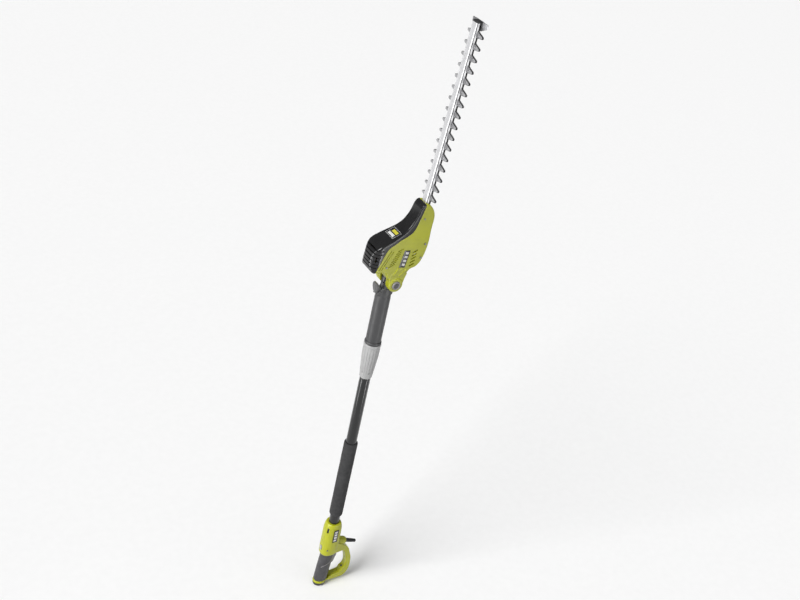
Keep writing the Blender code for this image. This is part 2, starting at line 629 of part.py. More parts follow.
def build_motor(head):
    """Stator, bearings, brushes, gear plate, and the rotor with its fan and pinion."""
    def on_axis(shape, x=0.0):
        return turn_to(shape, (1, 0, 0), (x, 0, MOTOR_Z))

    new_piece("motor_stator", on_axis(ring(15.6, 25.6, -42, 4, STEPS_MID)), "dark_steel", head)
    new_piece("rear_bearing", on_axis(ring(3.9, 9.5, -74, -67, STEPS_LOW)), "rail_alloy", head)
    new_piece("front_bearing", on_axis(ring(3.9, 9.5, 16, 21.6, STEPS_LOW)), "rail_alloy", head)
    for name, side in (("near", -1), ("far", 1)):
        brush = box((-57, min(side * 12.4, side * 24), MOTOR_Z - 4),
                    (-48, max(side * 12.4, side * 24), MOTOR_Z + 4))
        new_piece(f"brush_holder_{name}", brush, "brass", head)
    plate = box((22.3, -26, 63), (24.3, 26, 133))
    plate = cut(plate, on_axis(disc(7.2, 0, 40, STEPS_LOW)),
                turn_to(disc(4.4, 0, 40, STEPS_LOW), (1, 0, 0), (0, 0, GEAR_Z)))
    new_piece("gear_plate", plate, "dark_steel", head)

    rotor = turned([(0, -76), (3.5, -76), (3.5, -60), (11.5, -60), (11.5, -46), (5, -46), (5, -40),
                    (14.9, -40), (14.9, 2), (3.5, 2), (3.5, 25.6), (1.8, 25.6), (1.8, 33), (0, 33)],
                   STEPS_MID)
    place = (0, 0, MOTOR_Z)
    new_piece("rotor", turn_to(rotor, (1, 0, 0)), "copper_core", head, place)
    hub = ring(3.5 + GAP, 7, 5.4, 13.4, STEPS_LOW)
    blades = []
    for k in range(FAN_BLADES):
        blade = box((5.5, -0.8, 5.4), (24.5, 0.8, 13.4))
        blades.append(turned_by(blade, 2 * math.pi * k / FAN_BLADES))
    fan = join(hub, ring(3.5 + GAP, 24.6, 4.6, 5.8), *blades)
    new_piece("fan", turn_to(fan, (1, 0, 0)), "black_plastic", head, place)
    pinion = gear_solid(PINION_TEETH, 26.2, 32.8, 1.8 + GAP)
    new_piece("pinion", turn_to(pinion, (1, 0, 0)), "dark_steel", head, place)


def gear_solid(teeth, low, high, bore=0.0):
    """A spur gear about Z, with straight-sided teeth and an optional bore."""
    pitch_r = GEAR_MODULE * teeth / 2
    root_r = pitch_r - 1.15 * GEAR_MODULE
    crown_r = pitch_r + 0.8 * GEAR_MODULE
    outline = []
    for k in range(teeth):
        for part, radius in ((-0.30, root_r), (-0.13, crown_r), (0.13, crown_r), (0.30, root_r)):
            angle = 2 * math.pi * (k + part) / teeth
            outline.append((radius * math.cos(angle), radius * math.sin(angle)))
    shape = prism(outline, low, high)
    bmesh.ops.rotate(shape, cent=(0, 0, 0), matrix=Matrix.Rotation(math.radians(90), 3, "X"),
                     verts=shape.verts)
    if bore > 0:
        shape = cut(shape, disc(bore, low - 5, high + 5, STEPS_LOW))
    return shape


def build_drive(head):
    """The large gear with its two cranks, the blades, the rail and the tip guard."""
    gear = gear_solid(GEAR_TEETH, 26.0, 33.0)
    shaft = disc(3.8, 22.6, BLADE_X + BLADE_THICK + 1.4, STEPS_LOW)
    throws = []
    offset = BLADE_THICK / 2 + BLADE_PLAY
    for middle, side in ((BLADE_X - offset, 1), (BLADE_X + offset, -1)):
        crank = disc(CRANK_R, middle - 1.0, middle + 1.0, STEPS_LOW)
        throws.append(shifted(crank, (0, side * CRANK_THROW, 0)))
    gear = join(gear, shaft, *throws)
    new_piece("drive_gear", turn_to(gear, (1, 0, 0)), "dark_steel", head, (0, 0, GEAR_Z))

    for name, low in (("blade_upper", BLADE_X - BLADE_PLAY - BLADE_THICK),
                      ("blade_lower", BLADE_X + BLADE_PLAY)):
        new_piece(name, blade_solid(low), "blade_steel", head)

    rail = rail_solid()
    new_piece("blade_rail", rail, "rail_alloy", head)
    new_piece("tip_guard", tip_solid(), "blade_steel", head)
    cap = box((RAIL_LOW_X, -BLADE_HALF, TIP_END - TIP_CAP),
              (BLADE_X + BLADE_THICK + 0.5, BLADE_HALF, TIP_END), 0.8)
    new_piece("tip_cap", cap, "black_plastic", head)


def blade_solid(low):
    """One toothed blade, with the eye that the crank turns in."""
    side = [(BLADE_HALF, 134)]
    for k in range(TOOTH_COUNT):
        z = FIRST_TOOTH + k * TOOTH_PITCH
        side += [(BLADE_HALF, z - 7.0), (TOOTH_REACH, z - 3.2), (TOOTH_REACH, z + 2.2),
                 (BLADE_HALF, z + 8.6)]
    side += [(BLADE_HALF, BLADE_END - 4), (BLADE_HALF - 3, BLADE_END - 1)]
    eye_wide, eye_long = 20.5, 26.4
    half = [(eye_wide - 9, GEAR_Z - eye_long), (eye_wide - 2, GEAR_Z - eye_long + 11),
            (eye_wide, GEAR_Z), (eye_wide - 2, GEAR_Z + eye_long - 11),
            (eye_wide - 7, GEAR_Z + eye_long - 1)] + side
    outline = half + [(-y, z) for y, z in reversed(half)]
    shape = between([(low, y, z) for y, z in outline],
                    [(low + BLADE_THICK, y, z) for y, z in outline])
    reach = CRANK_THROW + CRANK_R + 2 * GAP
    slot = (arc((0, GEAR_Z + CRANK_THROW), reach, 0, 180, STEPS_LOW)
            + arc((0, GEAR_Z - CRANK_THROW), reach, 180, 360, STEPS_LOW))
    hole = between([(low - 3, y, z) for y, z in slot],
                   [(low + BLADE_THICK + 3, y, z) for y, z in slot])
    return cut(shape, hole)


def rail_solid():
    """The support rail above the blades, a shallow channel with a rib along each edge."""
    high = BLADE_X - BLADE_PLAY - BLADE_THICK - GAP
    outline = [(-9, RAIL_LOW_X + 1.2), (-7.8, RAIL_LOW_X), (7.8, RAIL_LOW_X), (9, RAIL_LOW_X + 1.2),
               (9, high), (5.5, high), (5.5, high - 3), (-5.5, high - 3), (-5.5, high), (-9, high)]
    low_z, high_z = 140.0, TIP_END - TIP_CAP - GAP
    return between([(x, y, low_z) for y, x in outline], [(x, y, high_z) for y, x in outline])


def tip_solid():
    """The blunt guard over the blade's tip."""
    low_x = BLADE_X + BLADE_PLAY + BLADE_THICK + 2 * GAP
    plan = [(-BLADE_HALF, 640), (-TOOTH_REACH, 651), (-TOOTH_REACH, TIP_END - 1),
            (-BLADE_HALF, TIP_END), (BLADE_HALF, TIP_END), (TOOTH_REACH, TIP_END - 1),
            (TOOTH_REACH, 651), (BLADE_HALF, 640)]
    return between([(low_x, y, z) for y, z in plan], [(low_x + TIP_THICK, y, z) for y, z in plan])


def main():
    """Build the whole trimmer."""
    clear_scene()
    build_handle()
    build_pole()
    head = new_pivot("head_pivot", PIVOT, HEAD_TILT)
    build_case(head)
    build_motor(head)
    build_drive(head)
    bpy.context.view_layer.update()


main()
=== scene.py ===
"""Looks of a telescoping pole hedge trimmer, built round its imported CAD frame.

Shapes are drawn in millimetres and turned into metres when a piece is placed. The pole axis is
+Z with the blade at the top, +X is the side of the trigger and the hand guard, and -Y is the
near side. Pieces of the cutting head are drawn in the head's own frame, with x across the blade,
z along it and the origin on the tilt pivot.
"""

import json
import logging
import math
from dataclasses import dataclass
from enum import Enum
from typing import Callable, Sequence

import bmesh
import bpy
from mathutils import Euler, Matrix, Vector


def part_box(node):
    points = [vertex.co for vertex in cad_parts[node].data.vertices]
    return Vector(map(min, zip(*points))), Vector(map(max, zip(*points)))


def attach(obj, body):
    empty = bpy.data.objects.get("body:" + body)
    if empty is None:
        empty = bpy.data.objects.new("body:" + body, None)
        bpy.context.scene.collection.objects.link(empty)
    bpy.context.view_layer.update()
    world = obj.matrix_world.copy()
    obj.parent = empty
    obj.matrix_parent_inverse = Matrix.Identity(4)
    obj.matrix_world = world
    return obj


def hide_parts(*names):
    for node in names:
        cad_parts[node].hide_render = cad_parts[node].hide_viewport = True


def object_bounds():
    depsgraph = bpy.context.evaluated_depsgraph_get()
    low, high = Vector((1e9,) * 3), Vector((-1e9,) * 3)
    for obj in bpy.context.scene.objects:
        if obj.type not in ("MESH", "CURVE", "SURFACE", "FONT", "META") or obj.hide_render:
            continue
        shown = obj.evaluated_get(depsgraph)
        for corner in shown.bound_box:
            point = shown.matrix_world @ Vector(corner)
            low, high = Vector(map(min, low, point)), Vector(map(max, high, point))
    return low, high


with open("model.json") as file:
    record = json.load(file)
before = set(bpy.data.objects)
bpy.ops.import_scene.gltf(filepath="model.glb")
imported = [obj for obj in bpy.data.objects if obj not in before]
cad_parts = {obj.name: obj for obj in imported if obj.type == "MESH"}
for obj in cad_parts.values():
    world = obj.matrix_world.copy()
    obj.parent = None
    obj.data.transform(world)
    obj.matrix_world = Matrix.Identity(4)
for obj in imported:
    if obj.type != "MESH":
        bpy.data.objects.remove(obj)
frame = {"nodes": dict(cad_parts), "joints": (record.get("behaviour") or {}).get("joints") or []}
CAD_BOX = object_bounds()

Outline = Sequence[tuple[float, float]]
Point = tuple[float, float, float]

MM = 0.001
GAP = 0.3                # between pieces that touch
SAME = 1e-6              # closer than this is the same place
FINE = 96                # faces round a large turned piece
MIDDLE = 56              # faces round a middling one
COARSE = 28              # faces round a small one

log = logging.getLogger("hedge_trimmer")


class Body(Enum):
    """The moving bodies of the trimmer, by their names in the frame."""

    POLE = "lower_pole"
    TRIGGER = "trigger"
    LOCK = "lock_off_button"
    COLLAR = "clamp_collar"
    UPPER = "upper_pole"
    LEVER = "angle_lever"
    HEAD = "head"
    BLADE_UPPER = "blade_upper"
    BLADE_LOWER = "blade_lower"


class Texture(Enum):
    """The kinds of fine surface that a finish can have."""

    MOULDED = "moulded"
    FOAM = "foam"
    GROUND = "ground"
    ENAMEL = "enamel"


# ---------------------------------------------------------------- finishes


@dataclass(frozen=True)
class Finish:
    """A surface finish, from which one material is made.

    Args:
        name: the material's name.
        slot: the record's material slot; not used.
        colour: linear base colour.
        roughness: mean roughness.
        metallic: 0 for plastics, 1 for bare metal.
        texture: the kind of fine surface.
        grain_mm: size of the fine grain.
        relief_mm: height of the fine grain.
        drift: how far the colour wanders, as a share.
        coat: strength of a clear outer gloss.
        specular: strength of the plain reflection.
    """

    name: str
    slot: str
    colour: tuple[float, float, float]
    roughness: float
    metallic: float = 0.0
    texture: Texture = Texture.MOULDED
    grain_mm: float = 0.5
    relief_mm: float = 0.02
    drift: float = 0.06
    coat: float = 0.0
    specular: float = 0.4

    def material(self) -> bpy.types.Material:
        """The material of this finish, made once.

        Returns:
            A node material with drifting colour, uneven roughness and a fine relief.
        """
        found = bpy.data.materials.get(self.name)
        if found:
            return found
        material = bpy.data.materials.new(self.name)
        material.use_nodes = True
        tree = material.node_tree
        shader = tree.nodes["Principled BSDF"]
        shader.inputs["Metallic"].default_value = self.metallic
        shader.inputs["Coat Weight"].default_value = self.coat
        shader.inputs["Specular IOR Level"].default_value = self.specular
        shader.inputs["Coat Roughness"].default_value = 0.12
        place = tree.nodes.new("ShaderNodeTexCoord").outputs["Object"]
        self._colour(tree, shader, place)
        self._roughness(tree, shader, place)
        self._relief(tree, shader, place)
        material.diffuse_color = (*self.colour, 1.0)
        return material

    def _noise(self, tree: bpy.types.NodeTree, place: bpy.types.NodeSocket, size_mm: float,
               detail: float, stretch: Point = (1.0, 1.0, 1.0)) -> bpy.types.NodeSocket:
        """A noise pattern in space.

        Args:
            tree: the material's nodes.
            place: where the pattern is read.
            size_mm: size of its largest marks.
            detail: how many finer layers it has.
            stretch: how much finer it is along each axis.

        Returns:
            The pattern's value, around 0.5.
        """
        mapping = tree.nodes.new("ShaderNodeMapping")
        mapping.inputs["Scale"].default_value = stretch
        tree.links.new(place, mapping.inputs["Vector"])
        noise = tree.nodes.new("ShaderNodeTexNoise")
        noise.inputs["Scale"].default_value = 1.0 / (size_mm * MM)
        noise.inputs["Detail"].default_value = detail
        tree.links.new(mapping.outputs["Vector"], noise.inputs["Vector"])
        return noise.outputs["Fac"]

    def _colour(self, tree: bpy.types.NodeTree, shader: bpy.types.Node,
                place: bpy.types.NodeSocket) -> None:
        """Let the colour wander a little, and lighten it where an edge is rubbed.

        Args:
            tree: the material's nodes.
            shader: the surface shader.
            place: where the patterns are read.
        """
        ramp = tree.nodes.new("ShaderNodeValToRGB")
        low, high = ramp.color_ramp.elements
        low.position, high.position = 0.3, 0.7
        low.color = (*(c * (1 - self.drift) for c in self.colour), 1.0)
        high.color = (*(min(1.0, c * (1 + self.drift)) for c in self.colour), 1.0)
        tree.links.new(self._noise(tree, place, 22.0, 6.0), ramp.inputs["Fac"])
        worn = tree.nodes.new("ShaderNodeMix")
        worn.data_type = "RGBA"
        worn.inputs["B"].default_value = (*(min(1.0, c * 1.5 + 0.015) for c in self.colour), 1.0)
        edge = tree.nodes.new("ShaderNodeMapRange")
        edge.inputs["From Min"].default_value = 0.53
        edge.inputs["From Max"].default_value = 0.62
        edge.inputs["To Max"].default_value = 0.35
        geometry = tree.nodes.new("ShaderNodeNewGeometry")
        tree.links.new(geometry.outputs["Pointiness"], edge.inputs["Value"])
        tree.links.new(edge.outputs["Result"], worn.inputs["Factor"])
        tree.links.new(ramp.outputs["Color"], worn.inputs["A"])
        tree.links.new(worn.outputs["Result"], shader.inputs["Base Color"])

    def _roughness(self, tree: bpy.types.NodeTree, shader: bpy.types.Node,
                   place: bpy.types.NodeSocket) -> None:
        """Make the gloss uneven, as handling leaves it.

        Args:
            tree: the material's nodes.
            shader: the surface shader.
            place: where the pattern is read.
        """
        level = tree.nodes.new("ShaderNodeMapRange")
        level.inputs["From Min"].default_value = 0.3
        level.inputs["From Max"].default_value = 0.7
        level.inputs["To Min"].default_value = self.roughness * 0.82
        level.inputs["To Max"].default_value = min(1.0, self.roughness * 1.2)
        tree.links.new(self._noise(tree, place, 9.0, 8.0), level.inputs["Value"])
        tree.links.new(level.outputs["Result"], shader.inputs["Roughness"])

    def _relief(self, tree: bpy.types.NodeTree, shader: bpy.types.Node,
                place: bpy.types.NodeSocket) -> None:
        """Give the surface its fine grain.

        Args:
            tree: the material's nodes.
            shader: the surface shader.
            place: where the pattern is read.
        """
        if self.texture is Texture.FOAM:
            cells = tree.nodes.new("ShaderNodeTexVoronoi")
            cells.inputs["Scale"].default_value = 1.0 / (self.grain_mm * MM)
            tree.links.new(place, cells.inputs["Vector"])
            height = cells.outputs["Distance"]
        elif self.texture is Texture.GROUND:
            height = self._noise(tree, place, self.grain_mm, 3.0, (1.0, 0.04, 1.0))
        elif self.texture is Texture.ENAMEL:
            height = self._noise(tree, place, self.grain_mm, 2.0)
        else:
            height = self._noise(tree, place, self.grain_mm, 5.0)
        bump = tree.nodes.new("ShaderNodeBump")
        bump.inputs["Strength"].default_value = 0.6
        bump.inputs["Distance"].default_value = self.relief_mm * MM
        tree.links.new(height, bump.inputs["Height"])
        tree.links.new(bump.outputs["Normal"], shader.inputs["Normal"])


LIME = Finish("lime_moulding", "green_plastic", (0.37, 0.385, 0.006), 0.38, grain_mm=0.6,
              relief_mm=0.04, coat=0.12)
GLOSS_BLACK = Finish("gloss_black_moulding", "black_plastic", (0.006, 0.006, 0.0065), 0.24,
                     grain_mm=1.2, relief_mm=0.02, drift=0.2, coat=0.1)
SATIN_GREY = Finish("satin_grey_moulding", "grey_plastic", (0.045, 0.045, 0.047), 0.45,
                    grain_mm=0.5, relief_mm=0.05, drift=0.12)
MID_GREY = Finish("mid_grey_moulding", "grey_plastic", (0.09, 0.09, 0.094), 0.42,
                  grain_mm=0.5, relief_mm=0.04, drift=0.1)
PALE_GREY = Finish("pale_grey_moulding", "pale_plastic", (0.34, 0.34, 0.34), 0.4,
                   grain_mm=0.6, relief_mm=0.03, drift=0.05, coat=0.1)
CAP_GREY = Finish("cap_grey_moulding", "pale_plastic", (0.22, 0.21, 0.21), 0.4,
                  grain_mm=0.6, relief_mm=0.03, drift=0.08, coat=0.1)
SOFT_GRIP = Finish("soft_grip", "grip_rubber", (0.05, 0.049, 0.053), 0.42, grain_mm=0.9,
                   relief_mm=0.1, drift=0.3)
CORD_RUBBER = Finish("cord_rubber", "grip_rubber", (0.012, 0.012, 0.013), 0.5, grain_mm=0.7,
                     relief_mm=0.05, drift=0.15)
FOAM = Finish("closed_cell_foam", "foam", (0.028, 0.028, 0.029), 0.9, texture=Texture.FOAM,
              grain_mm=1.1, relief_mm=0.35, drift=0.22)
ENAMEL = Finish("gloss_black_enamel", "black_tube", (0.005, 0.005, 0.0055), 0.16,
                texture=Texture.ENAMEL, grain_mm=2.5, relief_mm=0.015, drift=0.2, coat=0.15)
GROUND_STEEL = Finish("ground_steel", "blade_steel", (0.42, 0.42, 0.43), 0.36, 1.0,
                      Texture.GROUND, 0.35, 0.03, 0.12)
# Painted shade: near-black steel put on the blades' side faces and inside the rail's side groove, where
# shadow falls.
PAINTED_SHADE_STEEL = Finish("painted_shade_steel", "blade_steel", (0.02, 0.02, 0.021), 0.5, 0.4,
                   Texture.GROUND, 0.35, 0.03, 0.2)
SATIN_ALLOY = Finish("satin_alloy", "rail_alloy", (0.6, 0.6, 0.61), 0.4, 0.75,
                     Texture.GROUND, 0.5, 0.02, 0.06)
DARK_STEEL = Finish("blackened_steel", "dark_steel", (0.16, 0.16, 0.165), 0.42, 1.0,
                    Texture.MOULDED, 0.5, 0.03, 0.2)
COPPER = Finish("wound_copper", "copper_core", (0.5, 0.24, 0.12), 0.4, 0.85, Texture.GROUND,
                0.6, 0.08, 0.2)
BRASS = Finish("turned_brass", "brass", (0.68, 0.49, 0.2), 0.34, 1.0, Texture.GROUND, 0.5, 0.02)
FOIL = Finish("printed_foil", "label", (0.5, 0.5, 0.49), 0.35, grain_mm=0.8, relief_mm=0.01)
FOIL_YELLOW = Finish("printed_yellow", "label", (0.42, 0.38, 0.03), 0.35, grain_mm=0.8,
                     relief_mm=0.01)
FLOOR = Finish("pale_floor", "", (0.9, 0.9, 0.9), 0.8, grain_mm=6.0, relief_mm=0.05, drift=0.01)


# ---------------------------------------------------------------- shapes


def linked(name: str, data: bpy.types.ID) -> bpy.types.Object:
    """A new object with some data, in the scene."""
    item = bpy.data.objects.new(name, data)
    bpy.context.scene.collection.objects.link(item)
    return item


def between(low: Sequence[Point], high: Sequence[Point]) -> bmesh.types.BMesh:
    """A solid between two matching loops of points.

    Args:
        low: the first loop.
        high: the second loop, point for point.

    Returns:
        The closed shape.
    """
    shape = bmesh.new()
    base = [shape.verts.new(point) for point in low]
    top = [shape.verts.new(point) for point in high]
    shape.faces.new(base)
    shape.faces.new(list(reversed(top)))
    for i in range(len(base)):
        j = (i + 1) % len(base)
        shape.faces.new((base[i], top[i], top[j], base[j]))
    bmesh.ops.recalc_face_normals(shape, faces=shape.faces)
    return shape


def prism(outline: Outline, low: float, high: float, rim: float = 0.0,
          steps: int = 4) -> bmesh.types.BMesh:
    """A solid with an (x, z) outline between two y levels.

    Args:
        outline: the side outline.
        low: the lower y level.
        high: the upper y level.
        rim: radius of both rims.
        steps: faces across a rim.

    Returns:
        The closed shape.
    """
    shape = between([(x, low, z) for x, z in outline], [(x, high, z) for x, z in outline])
    if rim:
        rims = [e for e in shape.edges if abs(e.verts[0].co.y - e.verts[1].co.y) < SAME]
        bmesh.ops.bevel(shape, geom=rims, offset=rim, segments=steps, profile=0.5,
                        affect="EDGES", clamp_overlap=True)
    return shape


def turned(profile: Outline, steps: int = FINE,
           swell: Callable[[float, float], float] | None = None) -> bmesh.types.BMesh:
    """A solid turned about Z.

    Args:
        profile: the closed (radius, z) outline.
        steps: faces round the axis.
        swell: what is added to a radius at an angle and a height.

    Returns:
        The closed shape.
    """
    shape = bmesh.new()
    rings = []
    for radius, z in profile:
        if radius < SAME:
            rings.append([shape.verts.new((0.0, 0.0, z))])
            continue
        ring = []
        for k in range(steps):
            angle = 2 * math.pi * k / steps
            reach = radius + (swell(angle, z) if swell else 0.0)
            ring.append(shape.verts.new((reach * math.cos(angle), reach * math.sin(angle), z)))
        rings.append(ring)
    for i, ring in enumerate(rings):
        after = rings[(i + 1) % len(rings)]
        for k in range(steps):
            m = (k + 1) % steps
            if len(ring) == 1 and len(after) == 1:
                break
            if len(ring) == 1:
                shape.faces.new((ring[0], after[k], after[m]))
            elif len(after) == 1:
                shape.faces.new((ring[k], after[0], ring[m]))
            else:
                shape.faces.new((ring[k], after[k], after[m], ring[m]))
    bmesh.ops.recalc_face_normals(shape, faces=shape.faces)
    return shape


def disc(radius: float, low: float, high: float, steps: int = COARSE,
         edge: float = 0.0) -> bmesh.types.BMesh:
    """A round solid about Z.

    Args:
        radius: its radius.
        low: its lower end.
        high: its upper end.
        steps: faces round the axis.
        edge: width of the chamfer at the upper end.

    Returns:
        The closed shape.
    """
    rim = [(radius, high - edge), (radius - edge, high)] if edge else [(radius, high)]
    return turned([(0, low), (radius, low), *rim, (0, high)], steps)


def loft(sections: Sequence[tuple[float, float, float, float]], steps: int = MIDDLE,
         power: float = 2.0) -> bmesh.types.BMesh:
    """A solid through oval sections.

    Args:
        sections: each one's z, half size in x, half size in y and middle in x.
        steps: points round a section.
        power: 2 for an ellipse, more for a squarer one.

    Returns:
        The closed shape.
    """
    loops = []
    for z, half_x, half_y, middle in sections:
        loop = []
        for k in range(steps):
            angle = 2 * math.pi * (k + 0.5) / steps
            c, s = math.cos(angle), math.sin(angle)
            x = middle + half_x * math.copysign(abs(c) ** (2 / power), c)
            loop.append((x, half_y * math.copysign(abs(s) ** (2 / power), s), z))
        loops.append(loop)
    shape = bmesh.new()
    rings = [[shape.verts.new(point) for point in loop] for loop in loops]
    shape.faces.new(rings[0])
    shape.faces.new(list(reversed(rings[-1])))
    for lower, upper in zip(rings, rings[1:]):
        for k in range(steps):
            m = (k + 1) % steps
            shape.faces.new((lower[k], upper[k], upper[m], lower[m]))
    bmesh.ops.recalc_face_normals(shape, faces=shape.faces)
    return shape


def block(low: Point, high: Point, edge: float = 0.0, steps: int = 3) -> bmesh.types.BMesh:
    """A block between two corners.

    Args:
        low: its lowest corner.
        high: its highest corner.
        edge: radius of its edges.
        steps: faces across an edge.

    Returns:
        The closed shape.
    """
    shape = bmesh.new()
    bmesh.ops.create_cube(shape, size=1.0)
    for vert in shape.verts:
        vert.co = Vector((low[i] if vert.co[i] < 0 else high[i] for i in range(3)))
    if edge:
        bmesh.ops.bevel(shape, geom=list(shape.edges), offset=edge, segments=steps,
                        profile=0.5, affect="EDGES")
    return shape


def rounded(points: Outline, passes: int = 3) -> list[tuple[float, float]]:
    """A closed outline with its corners cut again and again, into a smooth curve.

    Args:
        points: the outline.
        passes: how many times each corner is cut.

    Returns:
        The smooth outline, inside the first one.
    """
    line = list(points)
    for _ in range(passes):
        finer = []
        for (x0, z0), (x1, z1) in zip(line, line[1:] + line[:1]):
            finer.append((0.75 * x0 + 0.25 * x1, 0.75 * z0 + 0.25 * z1))
            finer.append((0.25 * x0 + 0.75 * x1, 0.25 * z0 + 0.75 * z1))
        line = finer
    return line


def along(knots: Outline, at: float) -> float:
    """A value read between knots, with straight lines from one to the next.

    Args:
        knots: (place, value) pairs in rising order.
        at: the place to read at.

    Returns:
        The value there, or the last one past the end.
    """
    for (low, first), (high, second) in zip(knots, knots[1:]):
        if at <= high:
            return first + (second - first) * (at - low) / (high - low)
    return knots[-1][1]


def arc(centre: tuple[float, float], radius: float, start: float, end: float,
        count: int) -> list[tuple[float, float]]:
    """Points on an arc.

    Args:
        centre: its centre.
        radius: its radius.
        start: the first angle in degrees, from +x towards +z.
        end: the last angle.
        count: how many steps it has.

    Returns:
        The points.
    """
    angles = [math.radians(start + (end - start) * k / count) for k in range(count + 1)]
    return [(centre[0] + radius * math.cos(a), centre[1] + radius * math.sin(a)) for a in angles]


def bar(start: tuple[float, float], end: tuple[float, float], width: float, low: float,
        high: float) -> bmesh.types.BMesh:
    """A straight bar with round ends, seen from the side.

    Args:
        start: the middle of one end, as (x, z).
        end: the middle of the other end.
        width: its width.
        low: its lower y level.
        high: its upper y level.

    Returns:
        The closed shape.
    """
    way = math.degrees(math.atan2(end[1] - start[1], end[0] - start[0]))
    outline = arc(start, width / 2, way + 90, way + 270, 6) + arc(end, width / 2, way - 90, way + 90, 6)
    return prism(outline, low, high)


def turn_to(shape: bmesh.types.BMesh, direction: Point,
            place: Point = (0, 0, 0)) -> bmesh.types.BMesh:
    """Lay a shape made about Z along another direction, starting at a place.

    Args:
        shape: the shape.
        direction: where its Z goes.
        place: where its origin goes.

    Returns:
        The same shape, moved.
    """
    turn = Vector((0, 0, 1)).rotation_difference(Vector(direction).normalized())
    matrix = Matrix.Translation(Vector(place)) @ turn.to_matrix().to_4x4()
    bmesh.ops.transform(shape, matrix=matrix, verts=shape.verts)
    return shape


def spun(shape: bmesh.types.BMesh, degrees: float) -> bmesh.types.BMesh:
    """The same shape, swung about the pole's axis."""
    bmesh.ops.rotate(shape, cent=(0, 0, 0), verts=shape.verts,
                     matrix=Matrix.Rotation(math.radians(degrees), 3, "Z"))
    return shape


def mirrored(shape: bmesh.types.BMesh) -> bmesh.types.BMesh:
    """The same shape on the other side of y = 0."""
    copy = shape.copy()
    bmesh.ops.scale(copy, vec=(1, -1, 1), verts=copy.verts)
    bmesh.ops.reverse_faces(copy, faces=copy.faces)
    return copy


def gathered(*shapes: bmesh.types.BMesh) -> bmesh.types.BMesh:
    """Several separate shapes as one.

    Args:
        shapes: shapes that don't overlap.

    Returns:
        One shape with all of them as bodies.
    """
    whole = bmesh.new()
    for shape in shapes:
        mesh = bpy.data.meshes.new("working")
        shape.to_mesh(mesh)
        shape.free()
        whole.from_mesh(mesh)
        bpy.data.meshes.remove(mesh)
    return whole


def evaluated(shape: bmesh.types.BMesh, *steps: Callable[[bpy.types.Object], None],
              others: Sequence[bpy.types.Object] = ()) -> bmesh.types.BMesh:
    """A shape after some of Blender's modifiers.

    Args:
        shape: the shape, which is used up.
        steps: functions that each add a modifier to an object.
        others: further working objects, removed afterwards.

    Returns:
        The new shape.
    """
    bmesh.ops.recalc_face_normals(shape, faces=shape.faces)
    mesh = bpy.data.meshes.new("working")
    shape.to_mesh(mesh)
    shape.free()
    item = linked("working", mesh)
    for step in steps:
        step(item)
    bpy.context.view_layer.update()
    result = bmesh.new()
    result.from_mesh(item.evaluated_get(bpy.context.evaluated_depsgraph_get()).to_mesh())
    for used in (item, *others):
        data = used.data
        bpy.data.objects.remove(used, do_unlink=True)
        bpy.data.meshes.remove(data)
    return result


def combine(shape: bmesh.types.BMesh, other: bmesh.types.BMesh,
            operation: str) -> bmesh.types.BMesh:
    """One shape after a Boolean with another.

    Args:
        shape: the shape to change.
        other: the shape that changes it.
        operation: DIFFERENCE, UNION or INTERSECT.

    Returns:
        The new shape.
    """
    bmesh.ops.recalc_face_normals(other, faces=other.faces)
    mesh = bpy.data.meshes.new("working")
    other.to_mesh(mesh)
    other.free()
    tool = linked("tool", mesh)

    def step(item: bpy.types.Object) -> None:
        """Add the Boolean."""
        change = item.modifiers.new("step", "BOOLEAN")
        change.operation = operation
        change.solver = "EXACT"
        change.object = tool

    return evaluated(shape, step, others=(tool,))


def cut(shape: bmesh.types.BMesh, *cutters: bmesh.types.BMesh) -> bmesh.types.BMesh:
    """A shape with each cutter taken away."""
    for cutter in cutters:
        shape = combine(shape, cutter, "DIFFERENCE")
    return shape


def keep(shape: bmesh.types.BMesh, limit: bmesh.types.BMesh) -> bmesh.types.BMesh:
    """The part of a shape inside another."""
    return combine(shape, limit, "INTERSECT")


def moulded(shape: bmesh.types.BMesh, grid: float, rounds: int) -> bmesh.types.BMesh:
    """Overlapping shapes run together, with soft inner corners and edges.

    Args:
        shape: closed shapes that may overlap.
        grid: size of the finest detail that is kept.
        rounds: how often the surface is smoothed.

    Returns:
        One closed shape.
    """

    def step(item: bpy.types.Object) -> None:
        """Add the remesh and the smoothing."""
        remesh = item.modifiers.new("remesh", "REMESH")
        remesh.mode = "VOXEL"
        remesh.voxel_size = grid
        smooth = item.modifiers.new("smooth", "SMOOTH")
        smooth.factor = 0.5
        smooth.iterations = rounds

    return evaluated(shape, step)


def add_piece(name: str, shape: bmesh.types.BMesh, finish: Finish, body: Body,
              stands_for: Sequence[str] = (), place: Matrix | None = None,
              sharp: float = 35.0) -> bpy.types.Object:
    """Put a finished piece into the scene.

    Args:
        name: the piece's name.
        shape: its shape in millimetres, used up.
        finish: its finish.
        body: the body that it rides on.
        stands_for: the CAD nodes that it replaces.
        place: the frame that it was drawn in.
        sharp: edges steeper than this angle in degrees stay sharp.

    Returns:
        The new object.
    """
    bmesh.ops.recalc_face_normals(shape, faces=shape.faces)
    bmesh.ops.transform(shape, matrix=(place or Matrix()), verts=shape.verts)
    bmesh.ops.scale(shape, vec=(MM, MM, MM), verts=shape.verts)
    mesh = bpy.data.meshes.new(name)
    shape.to_mesh(mesh)
    shape.free()
    mesh.shade_smooth()
    mesh.set_sharp_from_angle(angle=math.radians(sharp))
    mesh.materials.append(finish.material())
    piece = linked(name, mesh)
    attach(piece, body.value)
    if stands_for:
        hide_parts(*stands_for)
    log.info("%s on %s, %d faces", name, body.value, len(mesh.polygons))
    return piece


